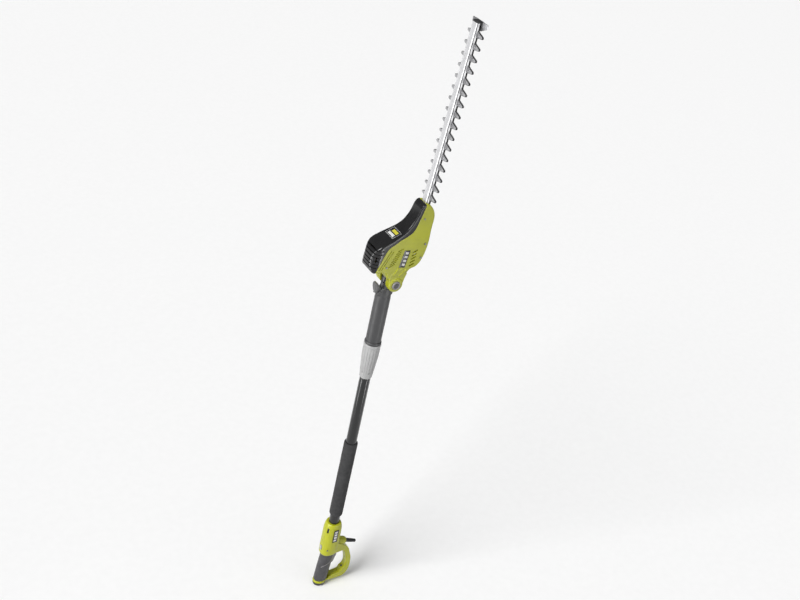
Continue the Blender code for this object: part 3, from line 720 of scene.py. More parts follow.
def shade_faces(piece: bpy.types.Object, finish: Finish, place: Matrix,
                chosen: Callable[[Vector, Vector], bool]) -> None:
    """Give some faces of a piece a second finish.

    Args:
        piece: the piece.
        finish: the second finish.
        place: the frame that the piece was drawn in.
        chosen: whether a face takes it, from its middle and its normal in that frame.
    """
    piece.data.materials.append(finish.material())
    undo = place.inverted()
    turn = undo.to_3x3()
    for face in piece.data.polygons:
        if chosen(undo @ (face.center / MM), turn @ face.normal):
            face.material_index = 1


def span(node: str) -> tuple[Vector, Vector]:
    """The lowest and highest corners of a CAD node, in millimetres."""
    low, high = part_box(node)
    return low / MM, high / MM


def joint(name: str) -> dict:
    """The frame's joint of that name."""
    return next(item for item in frame["joints"] if item["name"] == name)


# ---------------------------------------------------------------- rear handle


@dataclass
class RearHandle:
    """The rear handle: shell halves, soft grip, hand guard, trigger and cord guard."""

    grip_bottom: float = -50.0
    body_bottom: float = 57.0
    body_top: float = 175.0
    lean: float = 0.07
    grip_x: float = 20.4
    grip_y: float = 17.0
    core_x: float = 16.8
    core_y: float = 13.4
    guard_half: float = 11.0
    lens_bearing: float = 30.0
    grid: float = 1.1

    @property
    def cord_start(self) -> Vector:
        """Where the cord guard stands on its boss."""
        return Vector((50.0, 0.0, 84.0))

    @property
    def cord_way(self) -> Vector:
        """The cord guard's direction and length."""
        return Vector((38.0, 0.0, -15.0))

    def leaned(self, shape: bmesh.types.BMesh) -> bmesh.types.BMesh:
        """Slope the grip end of the handle towards -X."""
        for vert in shape.verts:
            if vert.co.z < self.body_bottom:
                vert.co.x += self.lean * (vert.co.z - self.body_bottom)
        return shape

    def guard_outline(self) -> list[tuple[float, float]]:
        """Side outline of the hand guard, rounded, open towards the grip."""
        outer = [(0, 94), (26, 90), (46, 76), (64, 60), (73, 34), (80.4, 12), (81.6, -28),
                 (70, -54.5), (50, -58), (-6, -58)]
        lower = [(-6, self.grip_bottom - GAP), (15.4, self.grip_bottom - GAP), (16.4, -43),
                 (36, -40), (52, -38)]
        inner = [(55, -27), (64, -20), (67, -6), (64, 12), (57, 36), (42, 59), (0, 62)]
        return rounded(outer + lower + inner, 3)

    def shell(self) -> bmesh.types.BMesh:
        """The whole shell before it is split.

        Returns:
            Body, grip core, end flange, guard and cord boss as one moulding.
        """
        body = loft([(self.body_bottom, 22.6, 19.6, -1), (59, 24.2, 21.4, -0.8),
                     (63, 25.4, 22.8, -0.5), (72, 25.8, 23.5, 0), (110, 25.8, 23.6, 0),
                     (150, 25.5, 23.5, 0), (160, 24.6, 22.9, 0), (168, 22.8, 21.8, 0),
                     (173, 20.9, 20.6, 0), (self.body_top, 19.6, 19.6, 0)], FINE, 2.3)
        core = self.leaned(loft([(z, self.core_x, self.core_y, 0) for z in (
            self.grip_bottom - 8, self.body_bottom, self.body_bottom + 6)]))
        flange = self.leaned(loft([(self.grip_bottom - 8, self.grip_x, self.grip_y, 0),
                                   (self.grip_bottom - 4, self.grip_x + 0.6, self.grip_y + 0.6, 0),
                                   (self.grip_bottom - GAP, self.grip_x, self.grip_y, 0)], FINE))
        guard = prism(self.guard_outline(), -self.guard_half, self.guard_half, 4.2, 4)
        boss = turn_to(turned([(0, -34), (11, -34), (11.5, -8), (10.8, -2), (9.5, 0), (0, 0)],
                              MIDDLE), self.cord_way, self.cord_start)
        web = between([(6, -21, 61), (6, 21, 61), (6, 21, 108), (6, -21, 108)],
                      [(54, -11, 54), (54, 11, 54), (54, 11, 68), (54, -11, 68)])
        return moulded(gathered(body, core, flange, guard, boss, web), self.grid, 4)

    def dressed_half(self, side: int) -> bmesh.types.BMesh:
        """One half of the shell, with its cuts.

        Args:
            side: -1 for the near half, 1 for the far half.

        Returns:
            The half shell.
        """
        low, high = sorted((side * GAP / 2, side * 60))
        half = keep(self.shell(), block((-60, low, -90), (120, high, 200)))
        room = loft([(self.body_bottom + 12, 20, 18.5, 0), (self.body_top - 50, 21, 19.5, 0)])
        bore = disc(14.7, 95.7, self.body_top + 5, FINE)
        slot = block((8, -6.6, 6), (26, 6.6, 56.5))
        lock = block((-40, -4.8, 72.8), (-12, 4.8, 89.2), 1.0)
        way_in = turn_to(disc(5.6, -30, 6), self.cord_way, self.cord_start)
        wells = [turn_to(disc(3.4, -4.5, 5), way, place)
                 for way, place in (((-1, 0, 0), (63.9, 0, 11)), ((-0.61, 0, 0.79), (59.5, 0, -23.5)))]
        seam = prism([(-40, 104.6), (60, 104.6), (60, 105.6), (-40, 105.6)], -0.4, 0.4)
        tools = [room, bore, slot, lock, way_in, *wells, seam]
        if side < 0:
            tools.append(spun(block((-40, -3, 145), (-22, 3, 163), 0.8), self.lens_bearing))
        return cut(half, *tools)

    def grip(self) -> tuple[bmesh.types.BMesh, bmesh.types.BMesh]:
        """The soft grip, with its finger swell, the groove that parts it and a pale strip in that groove
        that is a painted highlight.

        Returns:
            The sleeve of soft plastic and the pale strip of painted highlight.
        """
        sections = []
        steps = 30
        for k in range(steps + 1):
            z = self.grip_bottom + (self.body_bottom - GAP - self.grip_bottom) * k / steps
            end = min(1.0, 0.955 + 0.03 * min(k, 2))
            swell = 0.35 * math.sin(math.pi * k / steps)
            sections.append((z, (self.grip_x - 0.3 + swell) * end, (self.grip_y - 0.3 + swell) * end, 0))
        grip = self.leaned(loft(sections, FINE))
        hole = self.leaned(loft([(z, self.core_x + GAP, self.core_y + GAP, 0) for z in (
            self.grip_bottom - 5, self.body_bottom, self.body_bottom + 5)]))
        parting = rounded([(-19, 6), (-14, 12), (0, 21), (9, 28), (14, 38), (15, 58), (13.6, 58),
                           (12.6, 39), (8, 29.6), (-1, 22.6), (-15, 13.6), (-20, 7.6)], 2)
        grip = cut(grip, hole, block((4, -6.9, 5.5), (40, 6.9, 70)),
                   block((14.5, -12, 54), (40, 12, 70)))
        # A pale strip filling the parting groove: a painted highlight.
        highlight_strip = keep(grip.copy(), prism(parting, -30, 30))
        return cut(grip, prism(parting, -30, 30)), highlight_strip

    def build(self) -> None:
        """Make every piece of the handle."""
        for name, side in (("near", -1), ("far", 1)):
            node = f"handle_shell_{name}"
            add_piece(f"{node}_skin", self.dressed_half(side), LIME, Body.POLE, [node])
        sleeve, line = self.grip()
        add_piece("grip_sleeve", sleeve, SOFT_GRIP, Body.POLE, ["grip_rubber"])
        # The pale line is a painted highlight along the grip's parting groove.
        add_piece("grip_painted_highlight", line, CAP_GREY, Body.POLE)
        middle = self.lean * (self.grip_bottom - 8 - self.body_bottom)
        bottom = span("grip_end_cap")[0].z
        cap = loft([(z, self.grip_x - inset, self.grip_y - inset, middle) for z, inset in (
            (bottom, 5), (bottom + 1, 3.4), (bottom + 3, 2), (bottom + 6, 1.1),
            (self.grip_bottom - 8 - GAP, 0.4))], FINE)
        add_piece("end_cap_moulding", cap, GLOSS_BLACK, Body.POLE, ["grip_end_cap"])
        self.build_controls()
        self.build_cord_guard()
        self.build_badge()

    def build_controls(self) -> None:
        """Make the trigger, the lock-off button and the indicator lens."""
        trigger = prism(rounded([(8.7, 53), (17, 53.3), (25, 47), (30.6, 40.5), (28.7, 33),
                                 (24.7, 20), (21.4, 9), (14, 9), (12, 30), (8.7, 46)], 3),
                        -5.8, 5.8, 1.6, 4)
        trigger = cut(trigger, turn_to(disc(2.4, 0, 13, 24), (1, 0, 0), (5.6, 0, 20)))
        add_piece("trigger_lever", trigger, CAP_GREY, Body.TRIGGER, ["trigger"])
        low, high = span("lock_off_button")
        button = block(tuple(low), tuple(high), 1.6, 4)
        ribs = [block((low.x - 1, low.y - 1, z - 0.35), (low.x + 0.5, high.y + 1, z + 0.35))
                for z in (77, 79, 81, 83, 85)]
        spring_way = turn_to(disc(2.8, 0, 14, 24), (1, 0, 0), (low.x + 2.4, 0, 81))
        add_piece("lock_button_cap", cut(button, spring_way, *ribs), PALE_GREY, Body.LOCK,
                  ["lock_off_button"])
        low, high = span("indicator_lens")
        lens = spun(block((-24.2, -2.7, low.z), (-22.3, 2.7, high.z), 0.6), self.lens_bearing)
        add_piece("indicator_window", lens, GLOSS_BLACK, Body.POLE, ["indicator_lens"])

    def build_cord_guard(self) -> None:
        """Make the ribbed rubber guard that the supply lead leaves through."""
        length = self.cord_way.length
        profile = [(0, -8), (5.2, -8), (5.2, GAP), (7.6, GAP), (8.2, 1.0), (8.2, 2.8), (7.4, 3.6),
                   (6.2, 4.4)]
        ribs, start = 6, 7.0
        pitch = (length - start - 4) / ribs
        for k in range(ribs):
            z = start + k * pitch
            radius = 6.0 - 1.1 * k / ribs
            profile += [(radius, z), (radius, z + pitch * 0.55), (radius - 0.8, z + pitch * 0.65),
                        (radius - 0.8, z + pitch * 0.9)]
        profile += [(4.7, length - 3), (4.6, length - 0.6), (4.2, length), (3.3, length),
                    (3.3, length - 14), (0, length - 14)]
        guard = turn_to(turned(profile, MIDDLE), self.cord_way, self.cord_start)
        add_piece("cord_guard_sleeve", guard, CORD_RUBBER, Body.POLE, ["cord_guard"])

    def build_badge(self) -> None:
        """Make the blank badge on the near side, with its raised black rim and pale marks."""
        low, high = span("handle_badge")
        plate = block((low.x, low.y + 0.1, low.z), (high.x, high.y, high.z), 0.3)
        inner = block((low.x + 1.4, low.y - 2, low.z + 1.4), (high.x - 1.4, low.y + 0.45, high.z - 1.4))
        add_piece("handle_badge_plate", cut(plate, inner), GLOSS_BLACK, Body.POLE, ["handle_badge"])
        step = (high.z - low.z - 5.0) / 4
        marks = [block((low.x + 3.2, low.y + 0.15, low.z + 3.4 + step * k),
                       (high.x - 3.2, low.y + 0.5, low.z + 3.4 + step * (k + 0.72))) for k in range(4)]
        add_piece("handle_badge_marks", gathered(*marks), FOIL, Body.POLE)


# ---------------------------------------------------------------- pole


@dataclass
class Pole:
    """The telescoping pole: tubes, foam grip, clamp collar and the sleeve that carries the head."""

    tube_r: float = 14.4
    tube_bore: float = 12.8
    foam_r: float = 18.8
    sleeve_r: float = 20.0
    inner_r: float = 12.3
    flutes: int = 18
    flute_depth: float = 0.75

    def build(self) -> None:
        """Make every piece of the pole."""
        low, high = span("outer_tube")
        tube = turned([(self.tube_bore, low.z), (self.tube_r, low.z), (self.tube_r, high.z - 0.5),
                       (self.tube_r - 0.5, high.z), (self.tube_bore, high.z)])
        add_piece("outer_tube_enamel", tube, ENAMEL, Body.POLE, ["outer_tube"])
        self.build_foam()
        self.build_collar()
        self.build_sleeve()

    def build_foam(self) -> None:
        """Make the foam grip, with soft ends and a slightly uneven surface."""
        low, high = span("foam_grip")
        fillet, steps, rows = 3.0, 6, 40
        line = [(self.tube_r + 0.35, low.z), (self.foam_r - fillet, low.z)]
        line += [(self.foam_r - fillet + fillet * math.sin(a), low.z + fillet - fillet * math.cos(a))
                 for a in (math.pi / 2 * k / steps for k in range(1, steps + 1))]
        length = high.z - low.z - 2 * fillet
        line += [(self.foam_r, low.z + fillet + length * k / rows) for k in range(1, rows)]
        line += [(self.foam_r - fillet + fillet * math.cos(a), high.z - fillet + fillet * math.sin(a))
                 for a in (math.pi / 2 * k / steps for k in range(steps + 1))]
        line += [(self.tube_r + 0.35, high.z)]

        def uneven(angle: float, z: float) -> float:
            """A shallow waviness that fades to nothing at the bore."""
            return -0.12 + 0.07 * math.sin(3 * angle + z / 17) + 0.05 * math.sin(z / 9)

        foam = turned(line, FINE, uneven)
        piece = add_piece("foam_sleeve", foam, FOAM, Body.POLE, ["foam_grip"])

    def build_collar(self) -> None:
        """Make the pale clamp collar with its long flutes."""
        low, high = span("clamp_collar")
        start, end = low.z + 17.0, high.z - 9.0

        def radius(z: float) -> float:
            """The collar's outer radius at a height."""
            knots = [(0, 15.6), (2, 16.5), (26, 18.5), (46, 20.2), (66, 21.5), (84, 22.05),
                     (101, 22.0), (102.5, 22.6), (105.5, 22.6), (107, 21.8)]
            return along(knots, z - low.z)

        def flute(angle: float, z: float) -> float:
            """How deep the flutes cut at an angle and a height."""
            if not start < z < end:
                return 0.0
            ends = min(1.0, (z - start) / 4.0, (end - z) / 7.0)
            wave = math.cos(self.flutes * angle)
            return -self.flute_depth * math.sqrt(max(0.0, ends)) * max(0.0, wave) ** 0.8

        rows = 64
        line = [(self.tube_r + 0.4, low.z)]
        line += [(radius(low.z + (high.z - low.z) * k / rows), low.z + (high.z - low.z) * k / rows)
                 for k in range(rows + 1)]
        outside = turned([(0, low.z), *line[1:], (0, high.z)], self.flutes * 12, flute)
        bore = turned([(0, low.z - 1), (self.tube_r + 0.4, low.z - 1), (self.tube_r + 0.4, high.z - 62),
                       (17.8, high.z - 57), (17.8, high.z + 1), (0, high.z + 1)], FINE)
        pins = [turn_to(disc(2.2, 15.9, 24, 20), (math.cos(a), math.sin(a), 0), (0, 0, low.z + 20))
                for a in (math.radians(20 + 360 * k / 6) for k in range(6))]
        add_piece("clamp_collar_grip", cut(outside, bore, gathered(*pins)), PALE_GREY, Body.COLLAR,
                  ["clamp_collar"])

    def build_sleeve(self) -> None:
        """Make the bead and the long soft sleeve above the collar."""
        low, high = span("sleeve_ring")
        bore = self.inner_r + GAP
        bead = turned([(bore, low.z), (20.6, low.z), (21.7, low.z + 0.8), (22.1, low.z + 2.2),
                       (22.0, high.z - 3.0), (21.4, high.z - 1.2), (20.2, high.z), (bore, high.z)])
        add_piece("sleeve_bead", bead, SATIN_GREY, Body.UPPER, ["sleeve_ring"])
        low, high = span("head_sleeve")
        r = self.sleeve_r
        sleeve = turned([(bore, low.z), (r - 0.9, low.z), (r - 0.2, low.z + 1.2), (r, low.z + 3),
                         (r, high.z - 9), (r - 0.25, high.z - 5), (r - 0.9, high.z - 1),
                         (r - 1.4, high.z), (bore, high.z)])
        add_piece("head_sleeve_skin", sleeve, SATIN_GREY, Body.UPPER, ["head_sleeve"])


@dataclass
class Yoke:
    """The forked end of the pole and the lever that frees the head's tilt."""

    knuckle_r: float = 19.0
    tongue_half: float = 12.5

    def build(self) -> None:
        """Make the yoke and its lever."""
        base_low = span("yoke")[0].z
        pivot = Vector(joint("head_tilt")["pos_m"]) / MM
        base = loft([(base_low, 19.0, 19.0, 0), (base_low + 4, 18.9, 18.7, 0.3),
                     (base_low + 9, 18.4, 17.8, 1.2), (base_low + 15, 17.4, 16.2, 2.2),
                     (pivot.z - self.knuckle_r - 2.7, 16.3, 14.8, 3)], FINE, 2.2)
        tongue = prism([(-9, base_low + 4), (18, base_low + 4)]
                       + arc((pivot.x, pivot.z), 14.5, -20, 200, 28),
                       -self.tongue_half, self.tongue_half, 0.8, 2)
        ears = prism(rounded([(-26, 948), (-12, base_low + 3), (-8, 958), (-15, 962), (-24, 956)], 2),
                     -9.5, 9.5, 0.8, 2)
        shape = moulded(gathered(base, tongue, ears), 0.7, 4)
        room = block((-45, -6.4, 940), (-10.5, 6.4, 990))
        disc_room = block((-30, -3.4, pivot.z - self.knuckle_r - 9), (40, 3.4, pivot.z + 30))
        hole = turn_to(disc(4.4, -30, 30), (0, 1, 0), tuple(pivot))
        flat = block((-60, -60, base_low - 20), (60, 60, base_low))
        add_piece("yoke_moulding", cut(shape, flat, hole, disc_room, room), SATIN_GREY, Body.UPPER,
                  ["yoke"])
        lever = prism(rounded([(-14.2, 956), (-12.9, 966), (-18, 972), (-25.5, 983.5), (-31, 985),
                               (-34.5, 981), (-32.5, 969), (-28, 956), (-22, 947.6), (-14.5, 948)], 2),
                      -6.0, 6.0, 1.2, 3)
        pawl = prism([(-16, 958), (-13.4, 957), (-4.9, 976.0), (-7.2, 978.2), (-15.5, 966)], -2.9, 2.9)
        add_piece("angle_lever_moulding", combine(lever, pawl, "UNION"), MID_GREY, Body.LEVER,
                  ["angle_lever"])


# ---------------------------------------------------------------- cutting head


@dataclass
class Head:
    """The cutting head: green case halves, black motor cover, badges and the tilt knuckle."""

    half: float = 30.0
    round_from: float = -63.0
    round_reach: float = 22.0
    cheek_half: float = 33.0
    tongue_half: float = 12.5
    knuckle_r: float = 19.0
    motor_z: float = 72.0
    motor_r: float = 26.6
    side_share: float = 0.957
    slope: float = 28.0
    louvre_count: int = 7
    louvre_pitch: float = 7.2
    vent_count: int = 5
    vent_pitch: float = 9.4
    rib_count: int = 6
    rib_pitch: float = 9.2
    rib_slot: float = 3.0

    @property
    def place(self) -> Matrix:
        """The head's own frame, from its tilt pivot and the way its blades slide."""
        pivot = Vector(joint("head_tilt")["pos_m"]) / MM
        along = joint("blade_upper_stroke")["axis"]
        return Matrix.Translation(pivot) @ Matrix.Rotation(math.atan2(along[0], along[2]), 4, "Y")

    def parting(self) -> list[tuple[float, float]]:
        """The line between cover and case, from the rear end to the neck."""
        return [(-66.2, 41.7), (-62.2, 56), (-57.2, 73), (-50.2, 95), (-47.4, 101.5), (-41.2, 108),
                (-17.2, 124.7), (1, 133.2), (9, 137.7), (15, 142), (19, 147.2), (23, 154.5), (25, 160),
                (31, 185), (35.8, 213)]

    def silhouette(self) -> list[tuple[float, float]]:
        """Side outline of case and cover together, without the knuckle."""
        green = [(46, 213.6), (57.4, 203.6), (66.8, 190), (70.8, 172), (68.6, 148), (66, 120),
                 (65.4, 98), (62.4, 76), (55.6, 57.4), (45.6, 46), (31, 42.6), (24, 29.6), (-22, 15.4),
                 (-29.6, 19), (-32.6, 30), (-38, 35.6), (-62, 37.4), (-70, 34.4)]
        black = [(-78.6, 41), (-82.8, 58), (-82, 81), (-75.8, 99), (-63, 110.8), (-38, 123.6),
                 (-11, 138.6), (1, 148.4), (10, 160.2), (21, 184), (26.8, 213.6)]
        return rounded(green + black, 3)

    def half_width(self, z: float) -> float:
        """Half the head's width at a height along the blade."""
        knots = [(-60, 30), (104, 30), (118, 29.4), (128, 27.4), (138, 24.4), (150, 21.6),
                 (160, 20.2), (172, 19.5), (260, 19.5)]
        return along(knots, z)

    def crowned(self, shape: bmesh.types.BMesh) -> bmesh.types.BMesh:
        """Narrow a straight-sided shape towards the blade, and dome its sides a little.

        Args:
            shape: a prism of the head's full width.

        Returns:
            The same shape, finely divided and formed.
        """
        for level, normal in [(z, (0, 0, 1)) for z in range(16, 214, 4)] + \
                             [(x, (1, 0, 0)) for x in range(-80, 72, 6)]:
            point = (level if normal[0] else 0, 0, level if normal[2] else 0)
            bmesh.ops.bisect_plane(shape, geom=[*shape.verts, *shape.edges, *shape.faces],
                                   dist=SAME, plane_co=point, plane_no=normal)
        for vert in shape.verts:
            x, y, z = vert.co
            middle, reach = -8 + 0.24 * (z - 70), 78
            dome = 1.0 - 0.05 * min(1.0, ((x - middle) / reach) ** 2)
            turn_in = max(0.0, (self.round_from - x) / self.round_reach)
            tail = math.sqrt(max(0.05, 1.0 - turn_in ** 2))
            vert.co.y = y * self.half_width(z) / self.half * dome * tail
        return shape

    def head_block(self) -> bmesh.types.BMesh:
        """Case and cover as one formed solid."""
        return self.crowned(prism(self.silhouette(), -self.half, self.half, 10.5, 7))

    def region(self, side: float) -> bmesh.types.BMesh:
        """The space above or below the parting line.

        Args:
            side: 1 for the cover's side, -1 for the case's side.

        Returns:
            A cutter with a small gap to the line.
        """
        line = [(-74, 20), *self.parting(), (37.5, 230)]
        shifted_line = [(x - side * GAP * 0.55, z + side * GAP * 0.45) for x, z in line]
        if side > 0:
            return prism(shifted_line + [(-120, 240), (-120, 10)], -50, 50)
        return prism(shifted_line + [(120, 240), (120, -40), (-50, -40), (-70, 10)], -50, 50)

    def motor_bore(self) -> bmesh.types.BMesh:
        """The round room for the motor."""
        return turn_to(disc(self.motor_r, -74, 22, MIDDLE), (1, 0, 0), (0, 0, self.motor_z))

    def build(self) -> None:
        """Make every piece of the head's outside."""
        self.build_case()
        self.build_cover()
        self.build_badges()
        self.build_knuckle_caps()

    def case_half(self) -> bmesh.types.BMesh:
        """The near half of the green case.

        Returns:
            The half, with its cheek, ridges, grooves, louvres and vents.
        """
        shell = keep(self.head_block(), self.region(-1))
        shell = keep(shell, block((-90, -60, -30), (120, -GAP / 2, 240)))
        cheek = prism([(-24, 26), (-20, 8)] + arc((0, 0), self.knuckle_r, 190, 360, 40)
                      + [(21, 12), (25, 32), (8, 47), (-12, 40)],
                      -self.half - 0.6, -self.tongue_half - 0.5, 1.2, 3)
        boss = turned([(0, 20), (self.knuckle_r, 20), (self.knuckle_r, self.cheek_half - 1.6),
                       (self.knuckle_r - 0.5, self.cheek_half - 0.5),
                       (self.knuckle_r - 1.6, self.cheek_half), (0, self.cheek_half)], MIDDLE)
        shell = combine(shell, cheek, "UNION")
        shell = combine(shell, turn_to(boss, (0, -1, 0)), "UNION")
        for start, end in (((-5.5, 47), (-12.5, 29)), ((18, 43), (4, 27))):
            shell = combine(shell, bar(start, end, 3.4, -self.half - 1.9, -20), "UNION")
        shell = moulded(cut(shell, *self.case_rooms()), 0.8, 2)
        return cut(shell, self.case_details())

    def case_rooms(self) -> list[bmesh.types.BMesh]:
        """The hollows inside a case half.

        Returns:
            Cutters for the knuckle, motor, gears, blades, cap and bolt.
        """
        tongue = prism(arc((0, 0), 22.5, 0, 360, 48)[:-1], -self.tongue_half - 0.5,
                       self.tongue_half + 0.5)
        half = [(17.5, 112), (17.5, 150), (14.5, 150.4), (14.5, 204.6), (10.2, 205), (10.2, 240)]
        way = half + [(-y, z) for y, z in reversed(half)]
        blades = between([(37.1, y, z) for y, z in way], [(54.9, y, z) for y, z in way])
        cap = turn_to(disc(11.4, self.cheek_half - 2.0, self.cheek_half + 9, MIDDLE), (0, -1, 0))
        return [tongue, self.motor_bore(), block((22.2, -26.5, 47), (44.1, 27, 122)),
                block((30, -22, 62.3), (58, 27, 120)), block((30, -21.6, 110), (54.5, 27, 134)),
                blades, cap, turn_to(disc(4.4, -40, 40), (0, 1, 0))]

    def case_details(self) -> bmesh.types.BMesh:
        """Grooves, louvres, vents and screw wells of the near side, as one cutter.

        Returns:
            The cutter.
        """
        def levels(depth: float) -> tuple[float, float]:
            """The y levels of a cut of that depth."""
            return -self.half - 8, -self.half + depth

        grooves = [bar((-37.5 + d, 98 - d * 0.3), (-59 + d, 45 + d * 0.2), 2.0, *levels(3.0))
                   for d in (0.0, 6.4)]
        rise = math.tan(math.radians(self.slope))
        louvres = []
        for k in range(self.louvre_count):
            z = 52 + self.louvre_pitch * k
            start = -34.5 + 2.7 * k
            length = 15.5 - 0.5 * k
            louvres.append(bar((start, z), (start + length, z + length * rise), 2.6, *levels(3.4)))
        vents = []
        for k in range(self.vent_count):
            z = 52.5 + self.vent_pitch * k
            vents.append(bar((25.6, z), (36.0, z + 10.4 * rise), 3.7, *levels(9)))
        wells = [turn_to(disc(3.4, self.half - 3.2, self.half + 8), (0, -1, 0), (x, 0, z))
                 for x, z in ((54, 112), (52, 74))]
        return gathered(*grooves, *louvres, *vents, *wells)

    def badge_outline(self, grow: float) -> list[tuple[float, float]]:
        """The slanted badge's outline, grown by a margin."""
        return [(-4.5 - grow, 50.5 - grow), (12 + grow, 49 - grow), (16 + grow, 96.4 + grow),
                (0 - grow, 97.5 + grow)]

    def build_case(self) -> None:
        """Make both halves of the green case."""
        near = self.case_half()
        far = mirrored(near)
        recess = prism(self.badge_outline(0.5), -self.half - 8, -self.half + 0.8)
        for name, shape in (("near", cut(near, recess)), ("far", far)):
            node = f"case_{name}"
            add_piece(f"{node}_moulding", shape, LIME, Body.HEAD, [node], self.place)

    def rib_core(self, reach: float, level: float) -> bmesh.types.BMesh:
        """The solid left standing inside one slot of the cover's rounded rear end.

        Args:
            reach: how far back the slot's floor lies.
            level: height of the slot's middle.

        Returns:
            An upright block with the rear end's rounded plan.
        """
        plan = []
        for k in range(9):
            x = reach + 16 - 16.6 * k / 8
            turn_in = max(0.0, (self.round_from - x) / (self.round_reach - 1.6))
            plan.append((x, (self.half * self.side_share - 1.4) * math.sqrt(max(0.05, 1.0 - turn_in ** 2))))
        loop = [(x, -y) for x, y in plan] + [(x, y) for x, y in reversed(plan)]
        return between([(x, y, level - 3) for x, y in loop], [(x, y, level + 3) for x, y in loop])

    def build_cover(self) -> None:
        """Make the gloss black cover, with the ribs that wrap round its rear end."""
        cover = keep(self.head_block(), self.region(1))
        cover = cut(cover, self.motor_bore())
        for k in range(self.rib_count):
            z = 52.0 + self.rib_pitch * k
            reach = -78.6 + 0.00598 * (z - 64) ** 2
            slab = block((-95, -40, z - self.rib_slot / 2), (reach + 14, 40, z + self.rib_slot / 2))
            cover = cut(cover, cut(slab, self.rib_core(reach, z)))
        add_piece("motor_cover_moulding", cover, GLOSS_BLACK, Body.HEAD, ["motor_cover"], self.place)

    def build_badges(self) -> None:
        """Make the blank side badge and the plain label on the cover."""
        low = -self.half - 0.45
        badge = prism(self.badge_outline(0.0), low, -self.half + 0.6, 0.25, 2)
        add_piece("case_badge_plate", badge, GLOSS_BLACK, Body.HEAD, ["case_badge"], self.place)
        marks = []
        for k in range(4):
            z = 55.5 + 10.6 * k
            x = 1.0 + 0.075 * (z - 50)
            marks.append(prism([(x, z), (x + 8.6, z - 1.3), (x + 9.2, z + 5.2), (x + 0.6, z + 6.5)],
                               low - 0.15, low + 0.2))
        add_piece("case_badge_marks", gathered(*marks), FOIL, Body.HEAD, (), self.place)
        self.build_label()

    def build_label(self) -> None:
        """Make the cover's label: a dark foil with a pale frame and two plain blocks."""
        tilt = math.atan2(12.8, 23.0)
        middle = Vector((-24.9, 0.0, 131.0))
        place = self.place @ Matrix.Translation(middle) @ Matrix.Rotation(-tilt, 4, "Y")

        def plate(x: tuple[float, float], y: tuple[float, float], high: float) -> bmesh.types.BMesh:
            """A thin block on the label's plane."""
            return block((x[0], y[0], -0.2), (x[1], y[1], high), 0.05, 1)

        add_piece("cover_label_foil", plate((-13.4, 13.4), (-18, 18), 0.35), GLOSS_BLACK, Body.HEAD,
                  ["cover_label"], place)
        edge = cut(plate((-12.6, 12.6), (-17.2, 17.2), 0.45),
                   block((-11.9, -16.5, -1), (11.9, 16.5, 1)))
        add_piece("cover_label_frame", edge, FOIL, Body.HEAD, (), place)
        add_piece("cover_label_white", plate((-9.6, -2.6), (-12, 12), 0.45), FOIL, Body.HEAD, (), place)
        add_piece("cover_label_yellow", plate((0.4, 8.6), (-12, 9), 0.45), FOIL_YELLOW, Body.HEAD, (),
                  place)

    def build_knuckle_caps(self) -> None:
        """Make the round caps over the tilt bolt."""
        face = self.cheek_half - 2.0 + GAP
        for name, side in (("near", -1), ("far", 1)):
            cap = turned([(0, face), (11, face), (11, face + 3.6), (10.7, face + 4.5),
                          (10.0, face + 5.1), (9.2, face + 5.2), (7.9, face + 5.0),
                          (7.3, face + 4.3), (6.9, face + 3.7), (0, face + 3.6)], MIDDLE)
            add_piece(f"pivot_cap_{name}_moulding", turn_to(cap, (0, side, 0)), CAP_GREY, Body.HEAD,
                      [f"pivot_cap_{name}"], self.place)
            inset = disc(6.6, face + 3.7, face + 4.0, MIDDLE)
            add_piece(f"pivot_cap_{name}_inset", turn_to(inset, (0, side, 0)), SATIN_GREY, Body.HEAD,
                      (), self.place)


# ---------------------------------------------------------------- blades


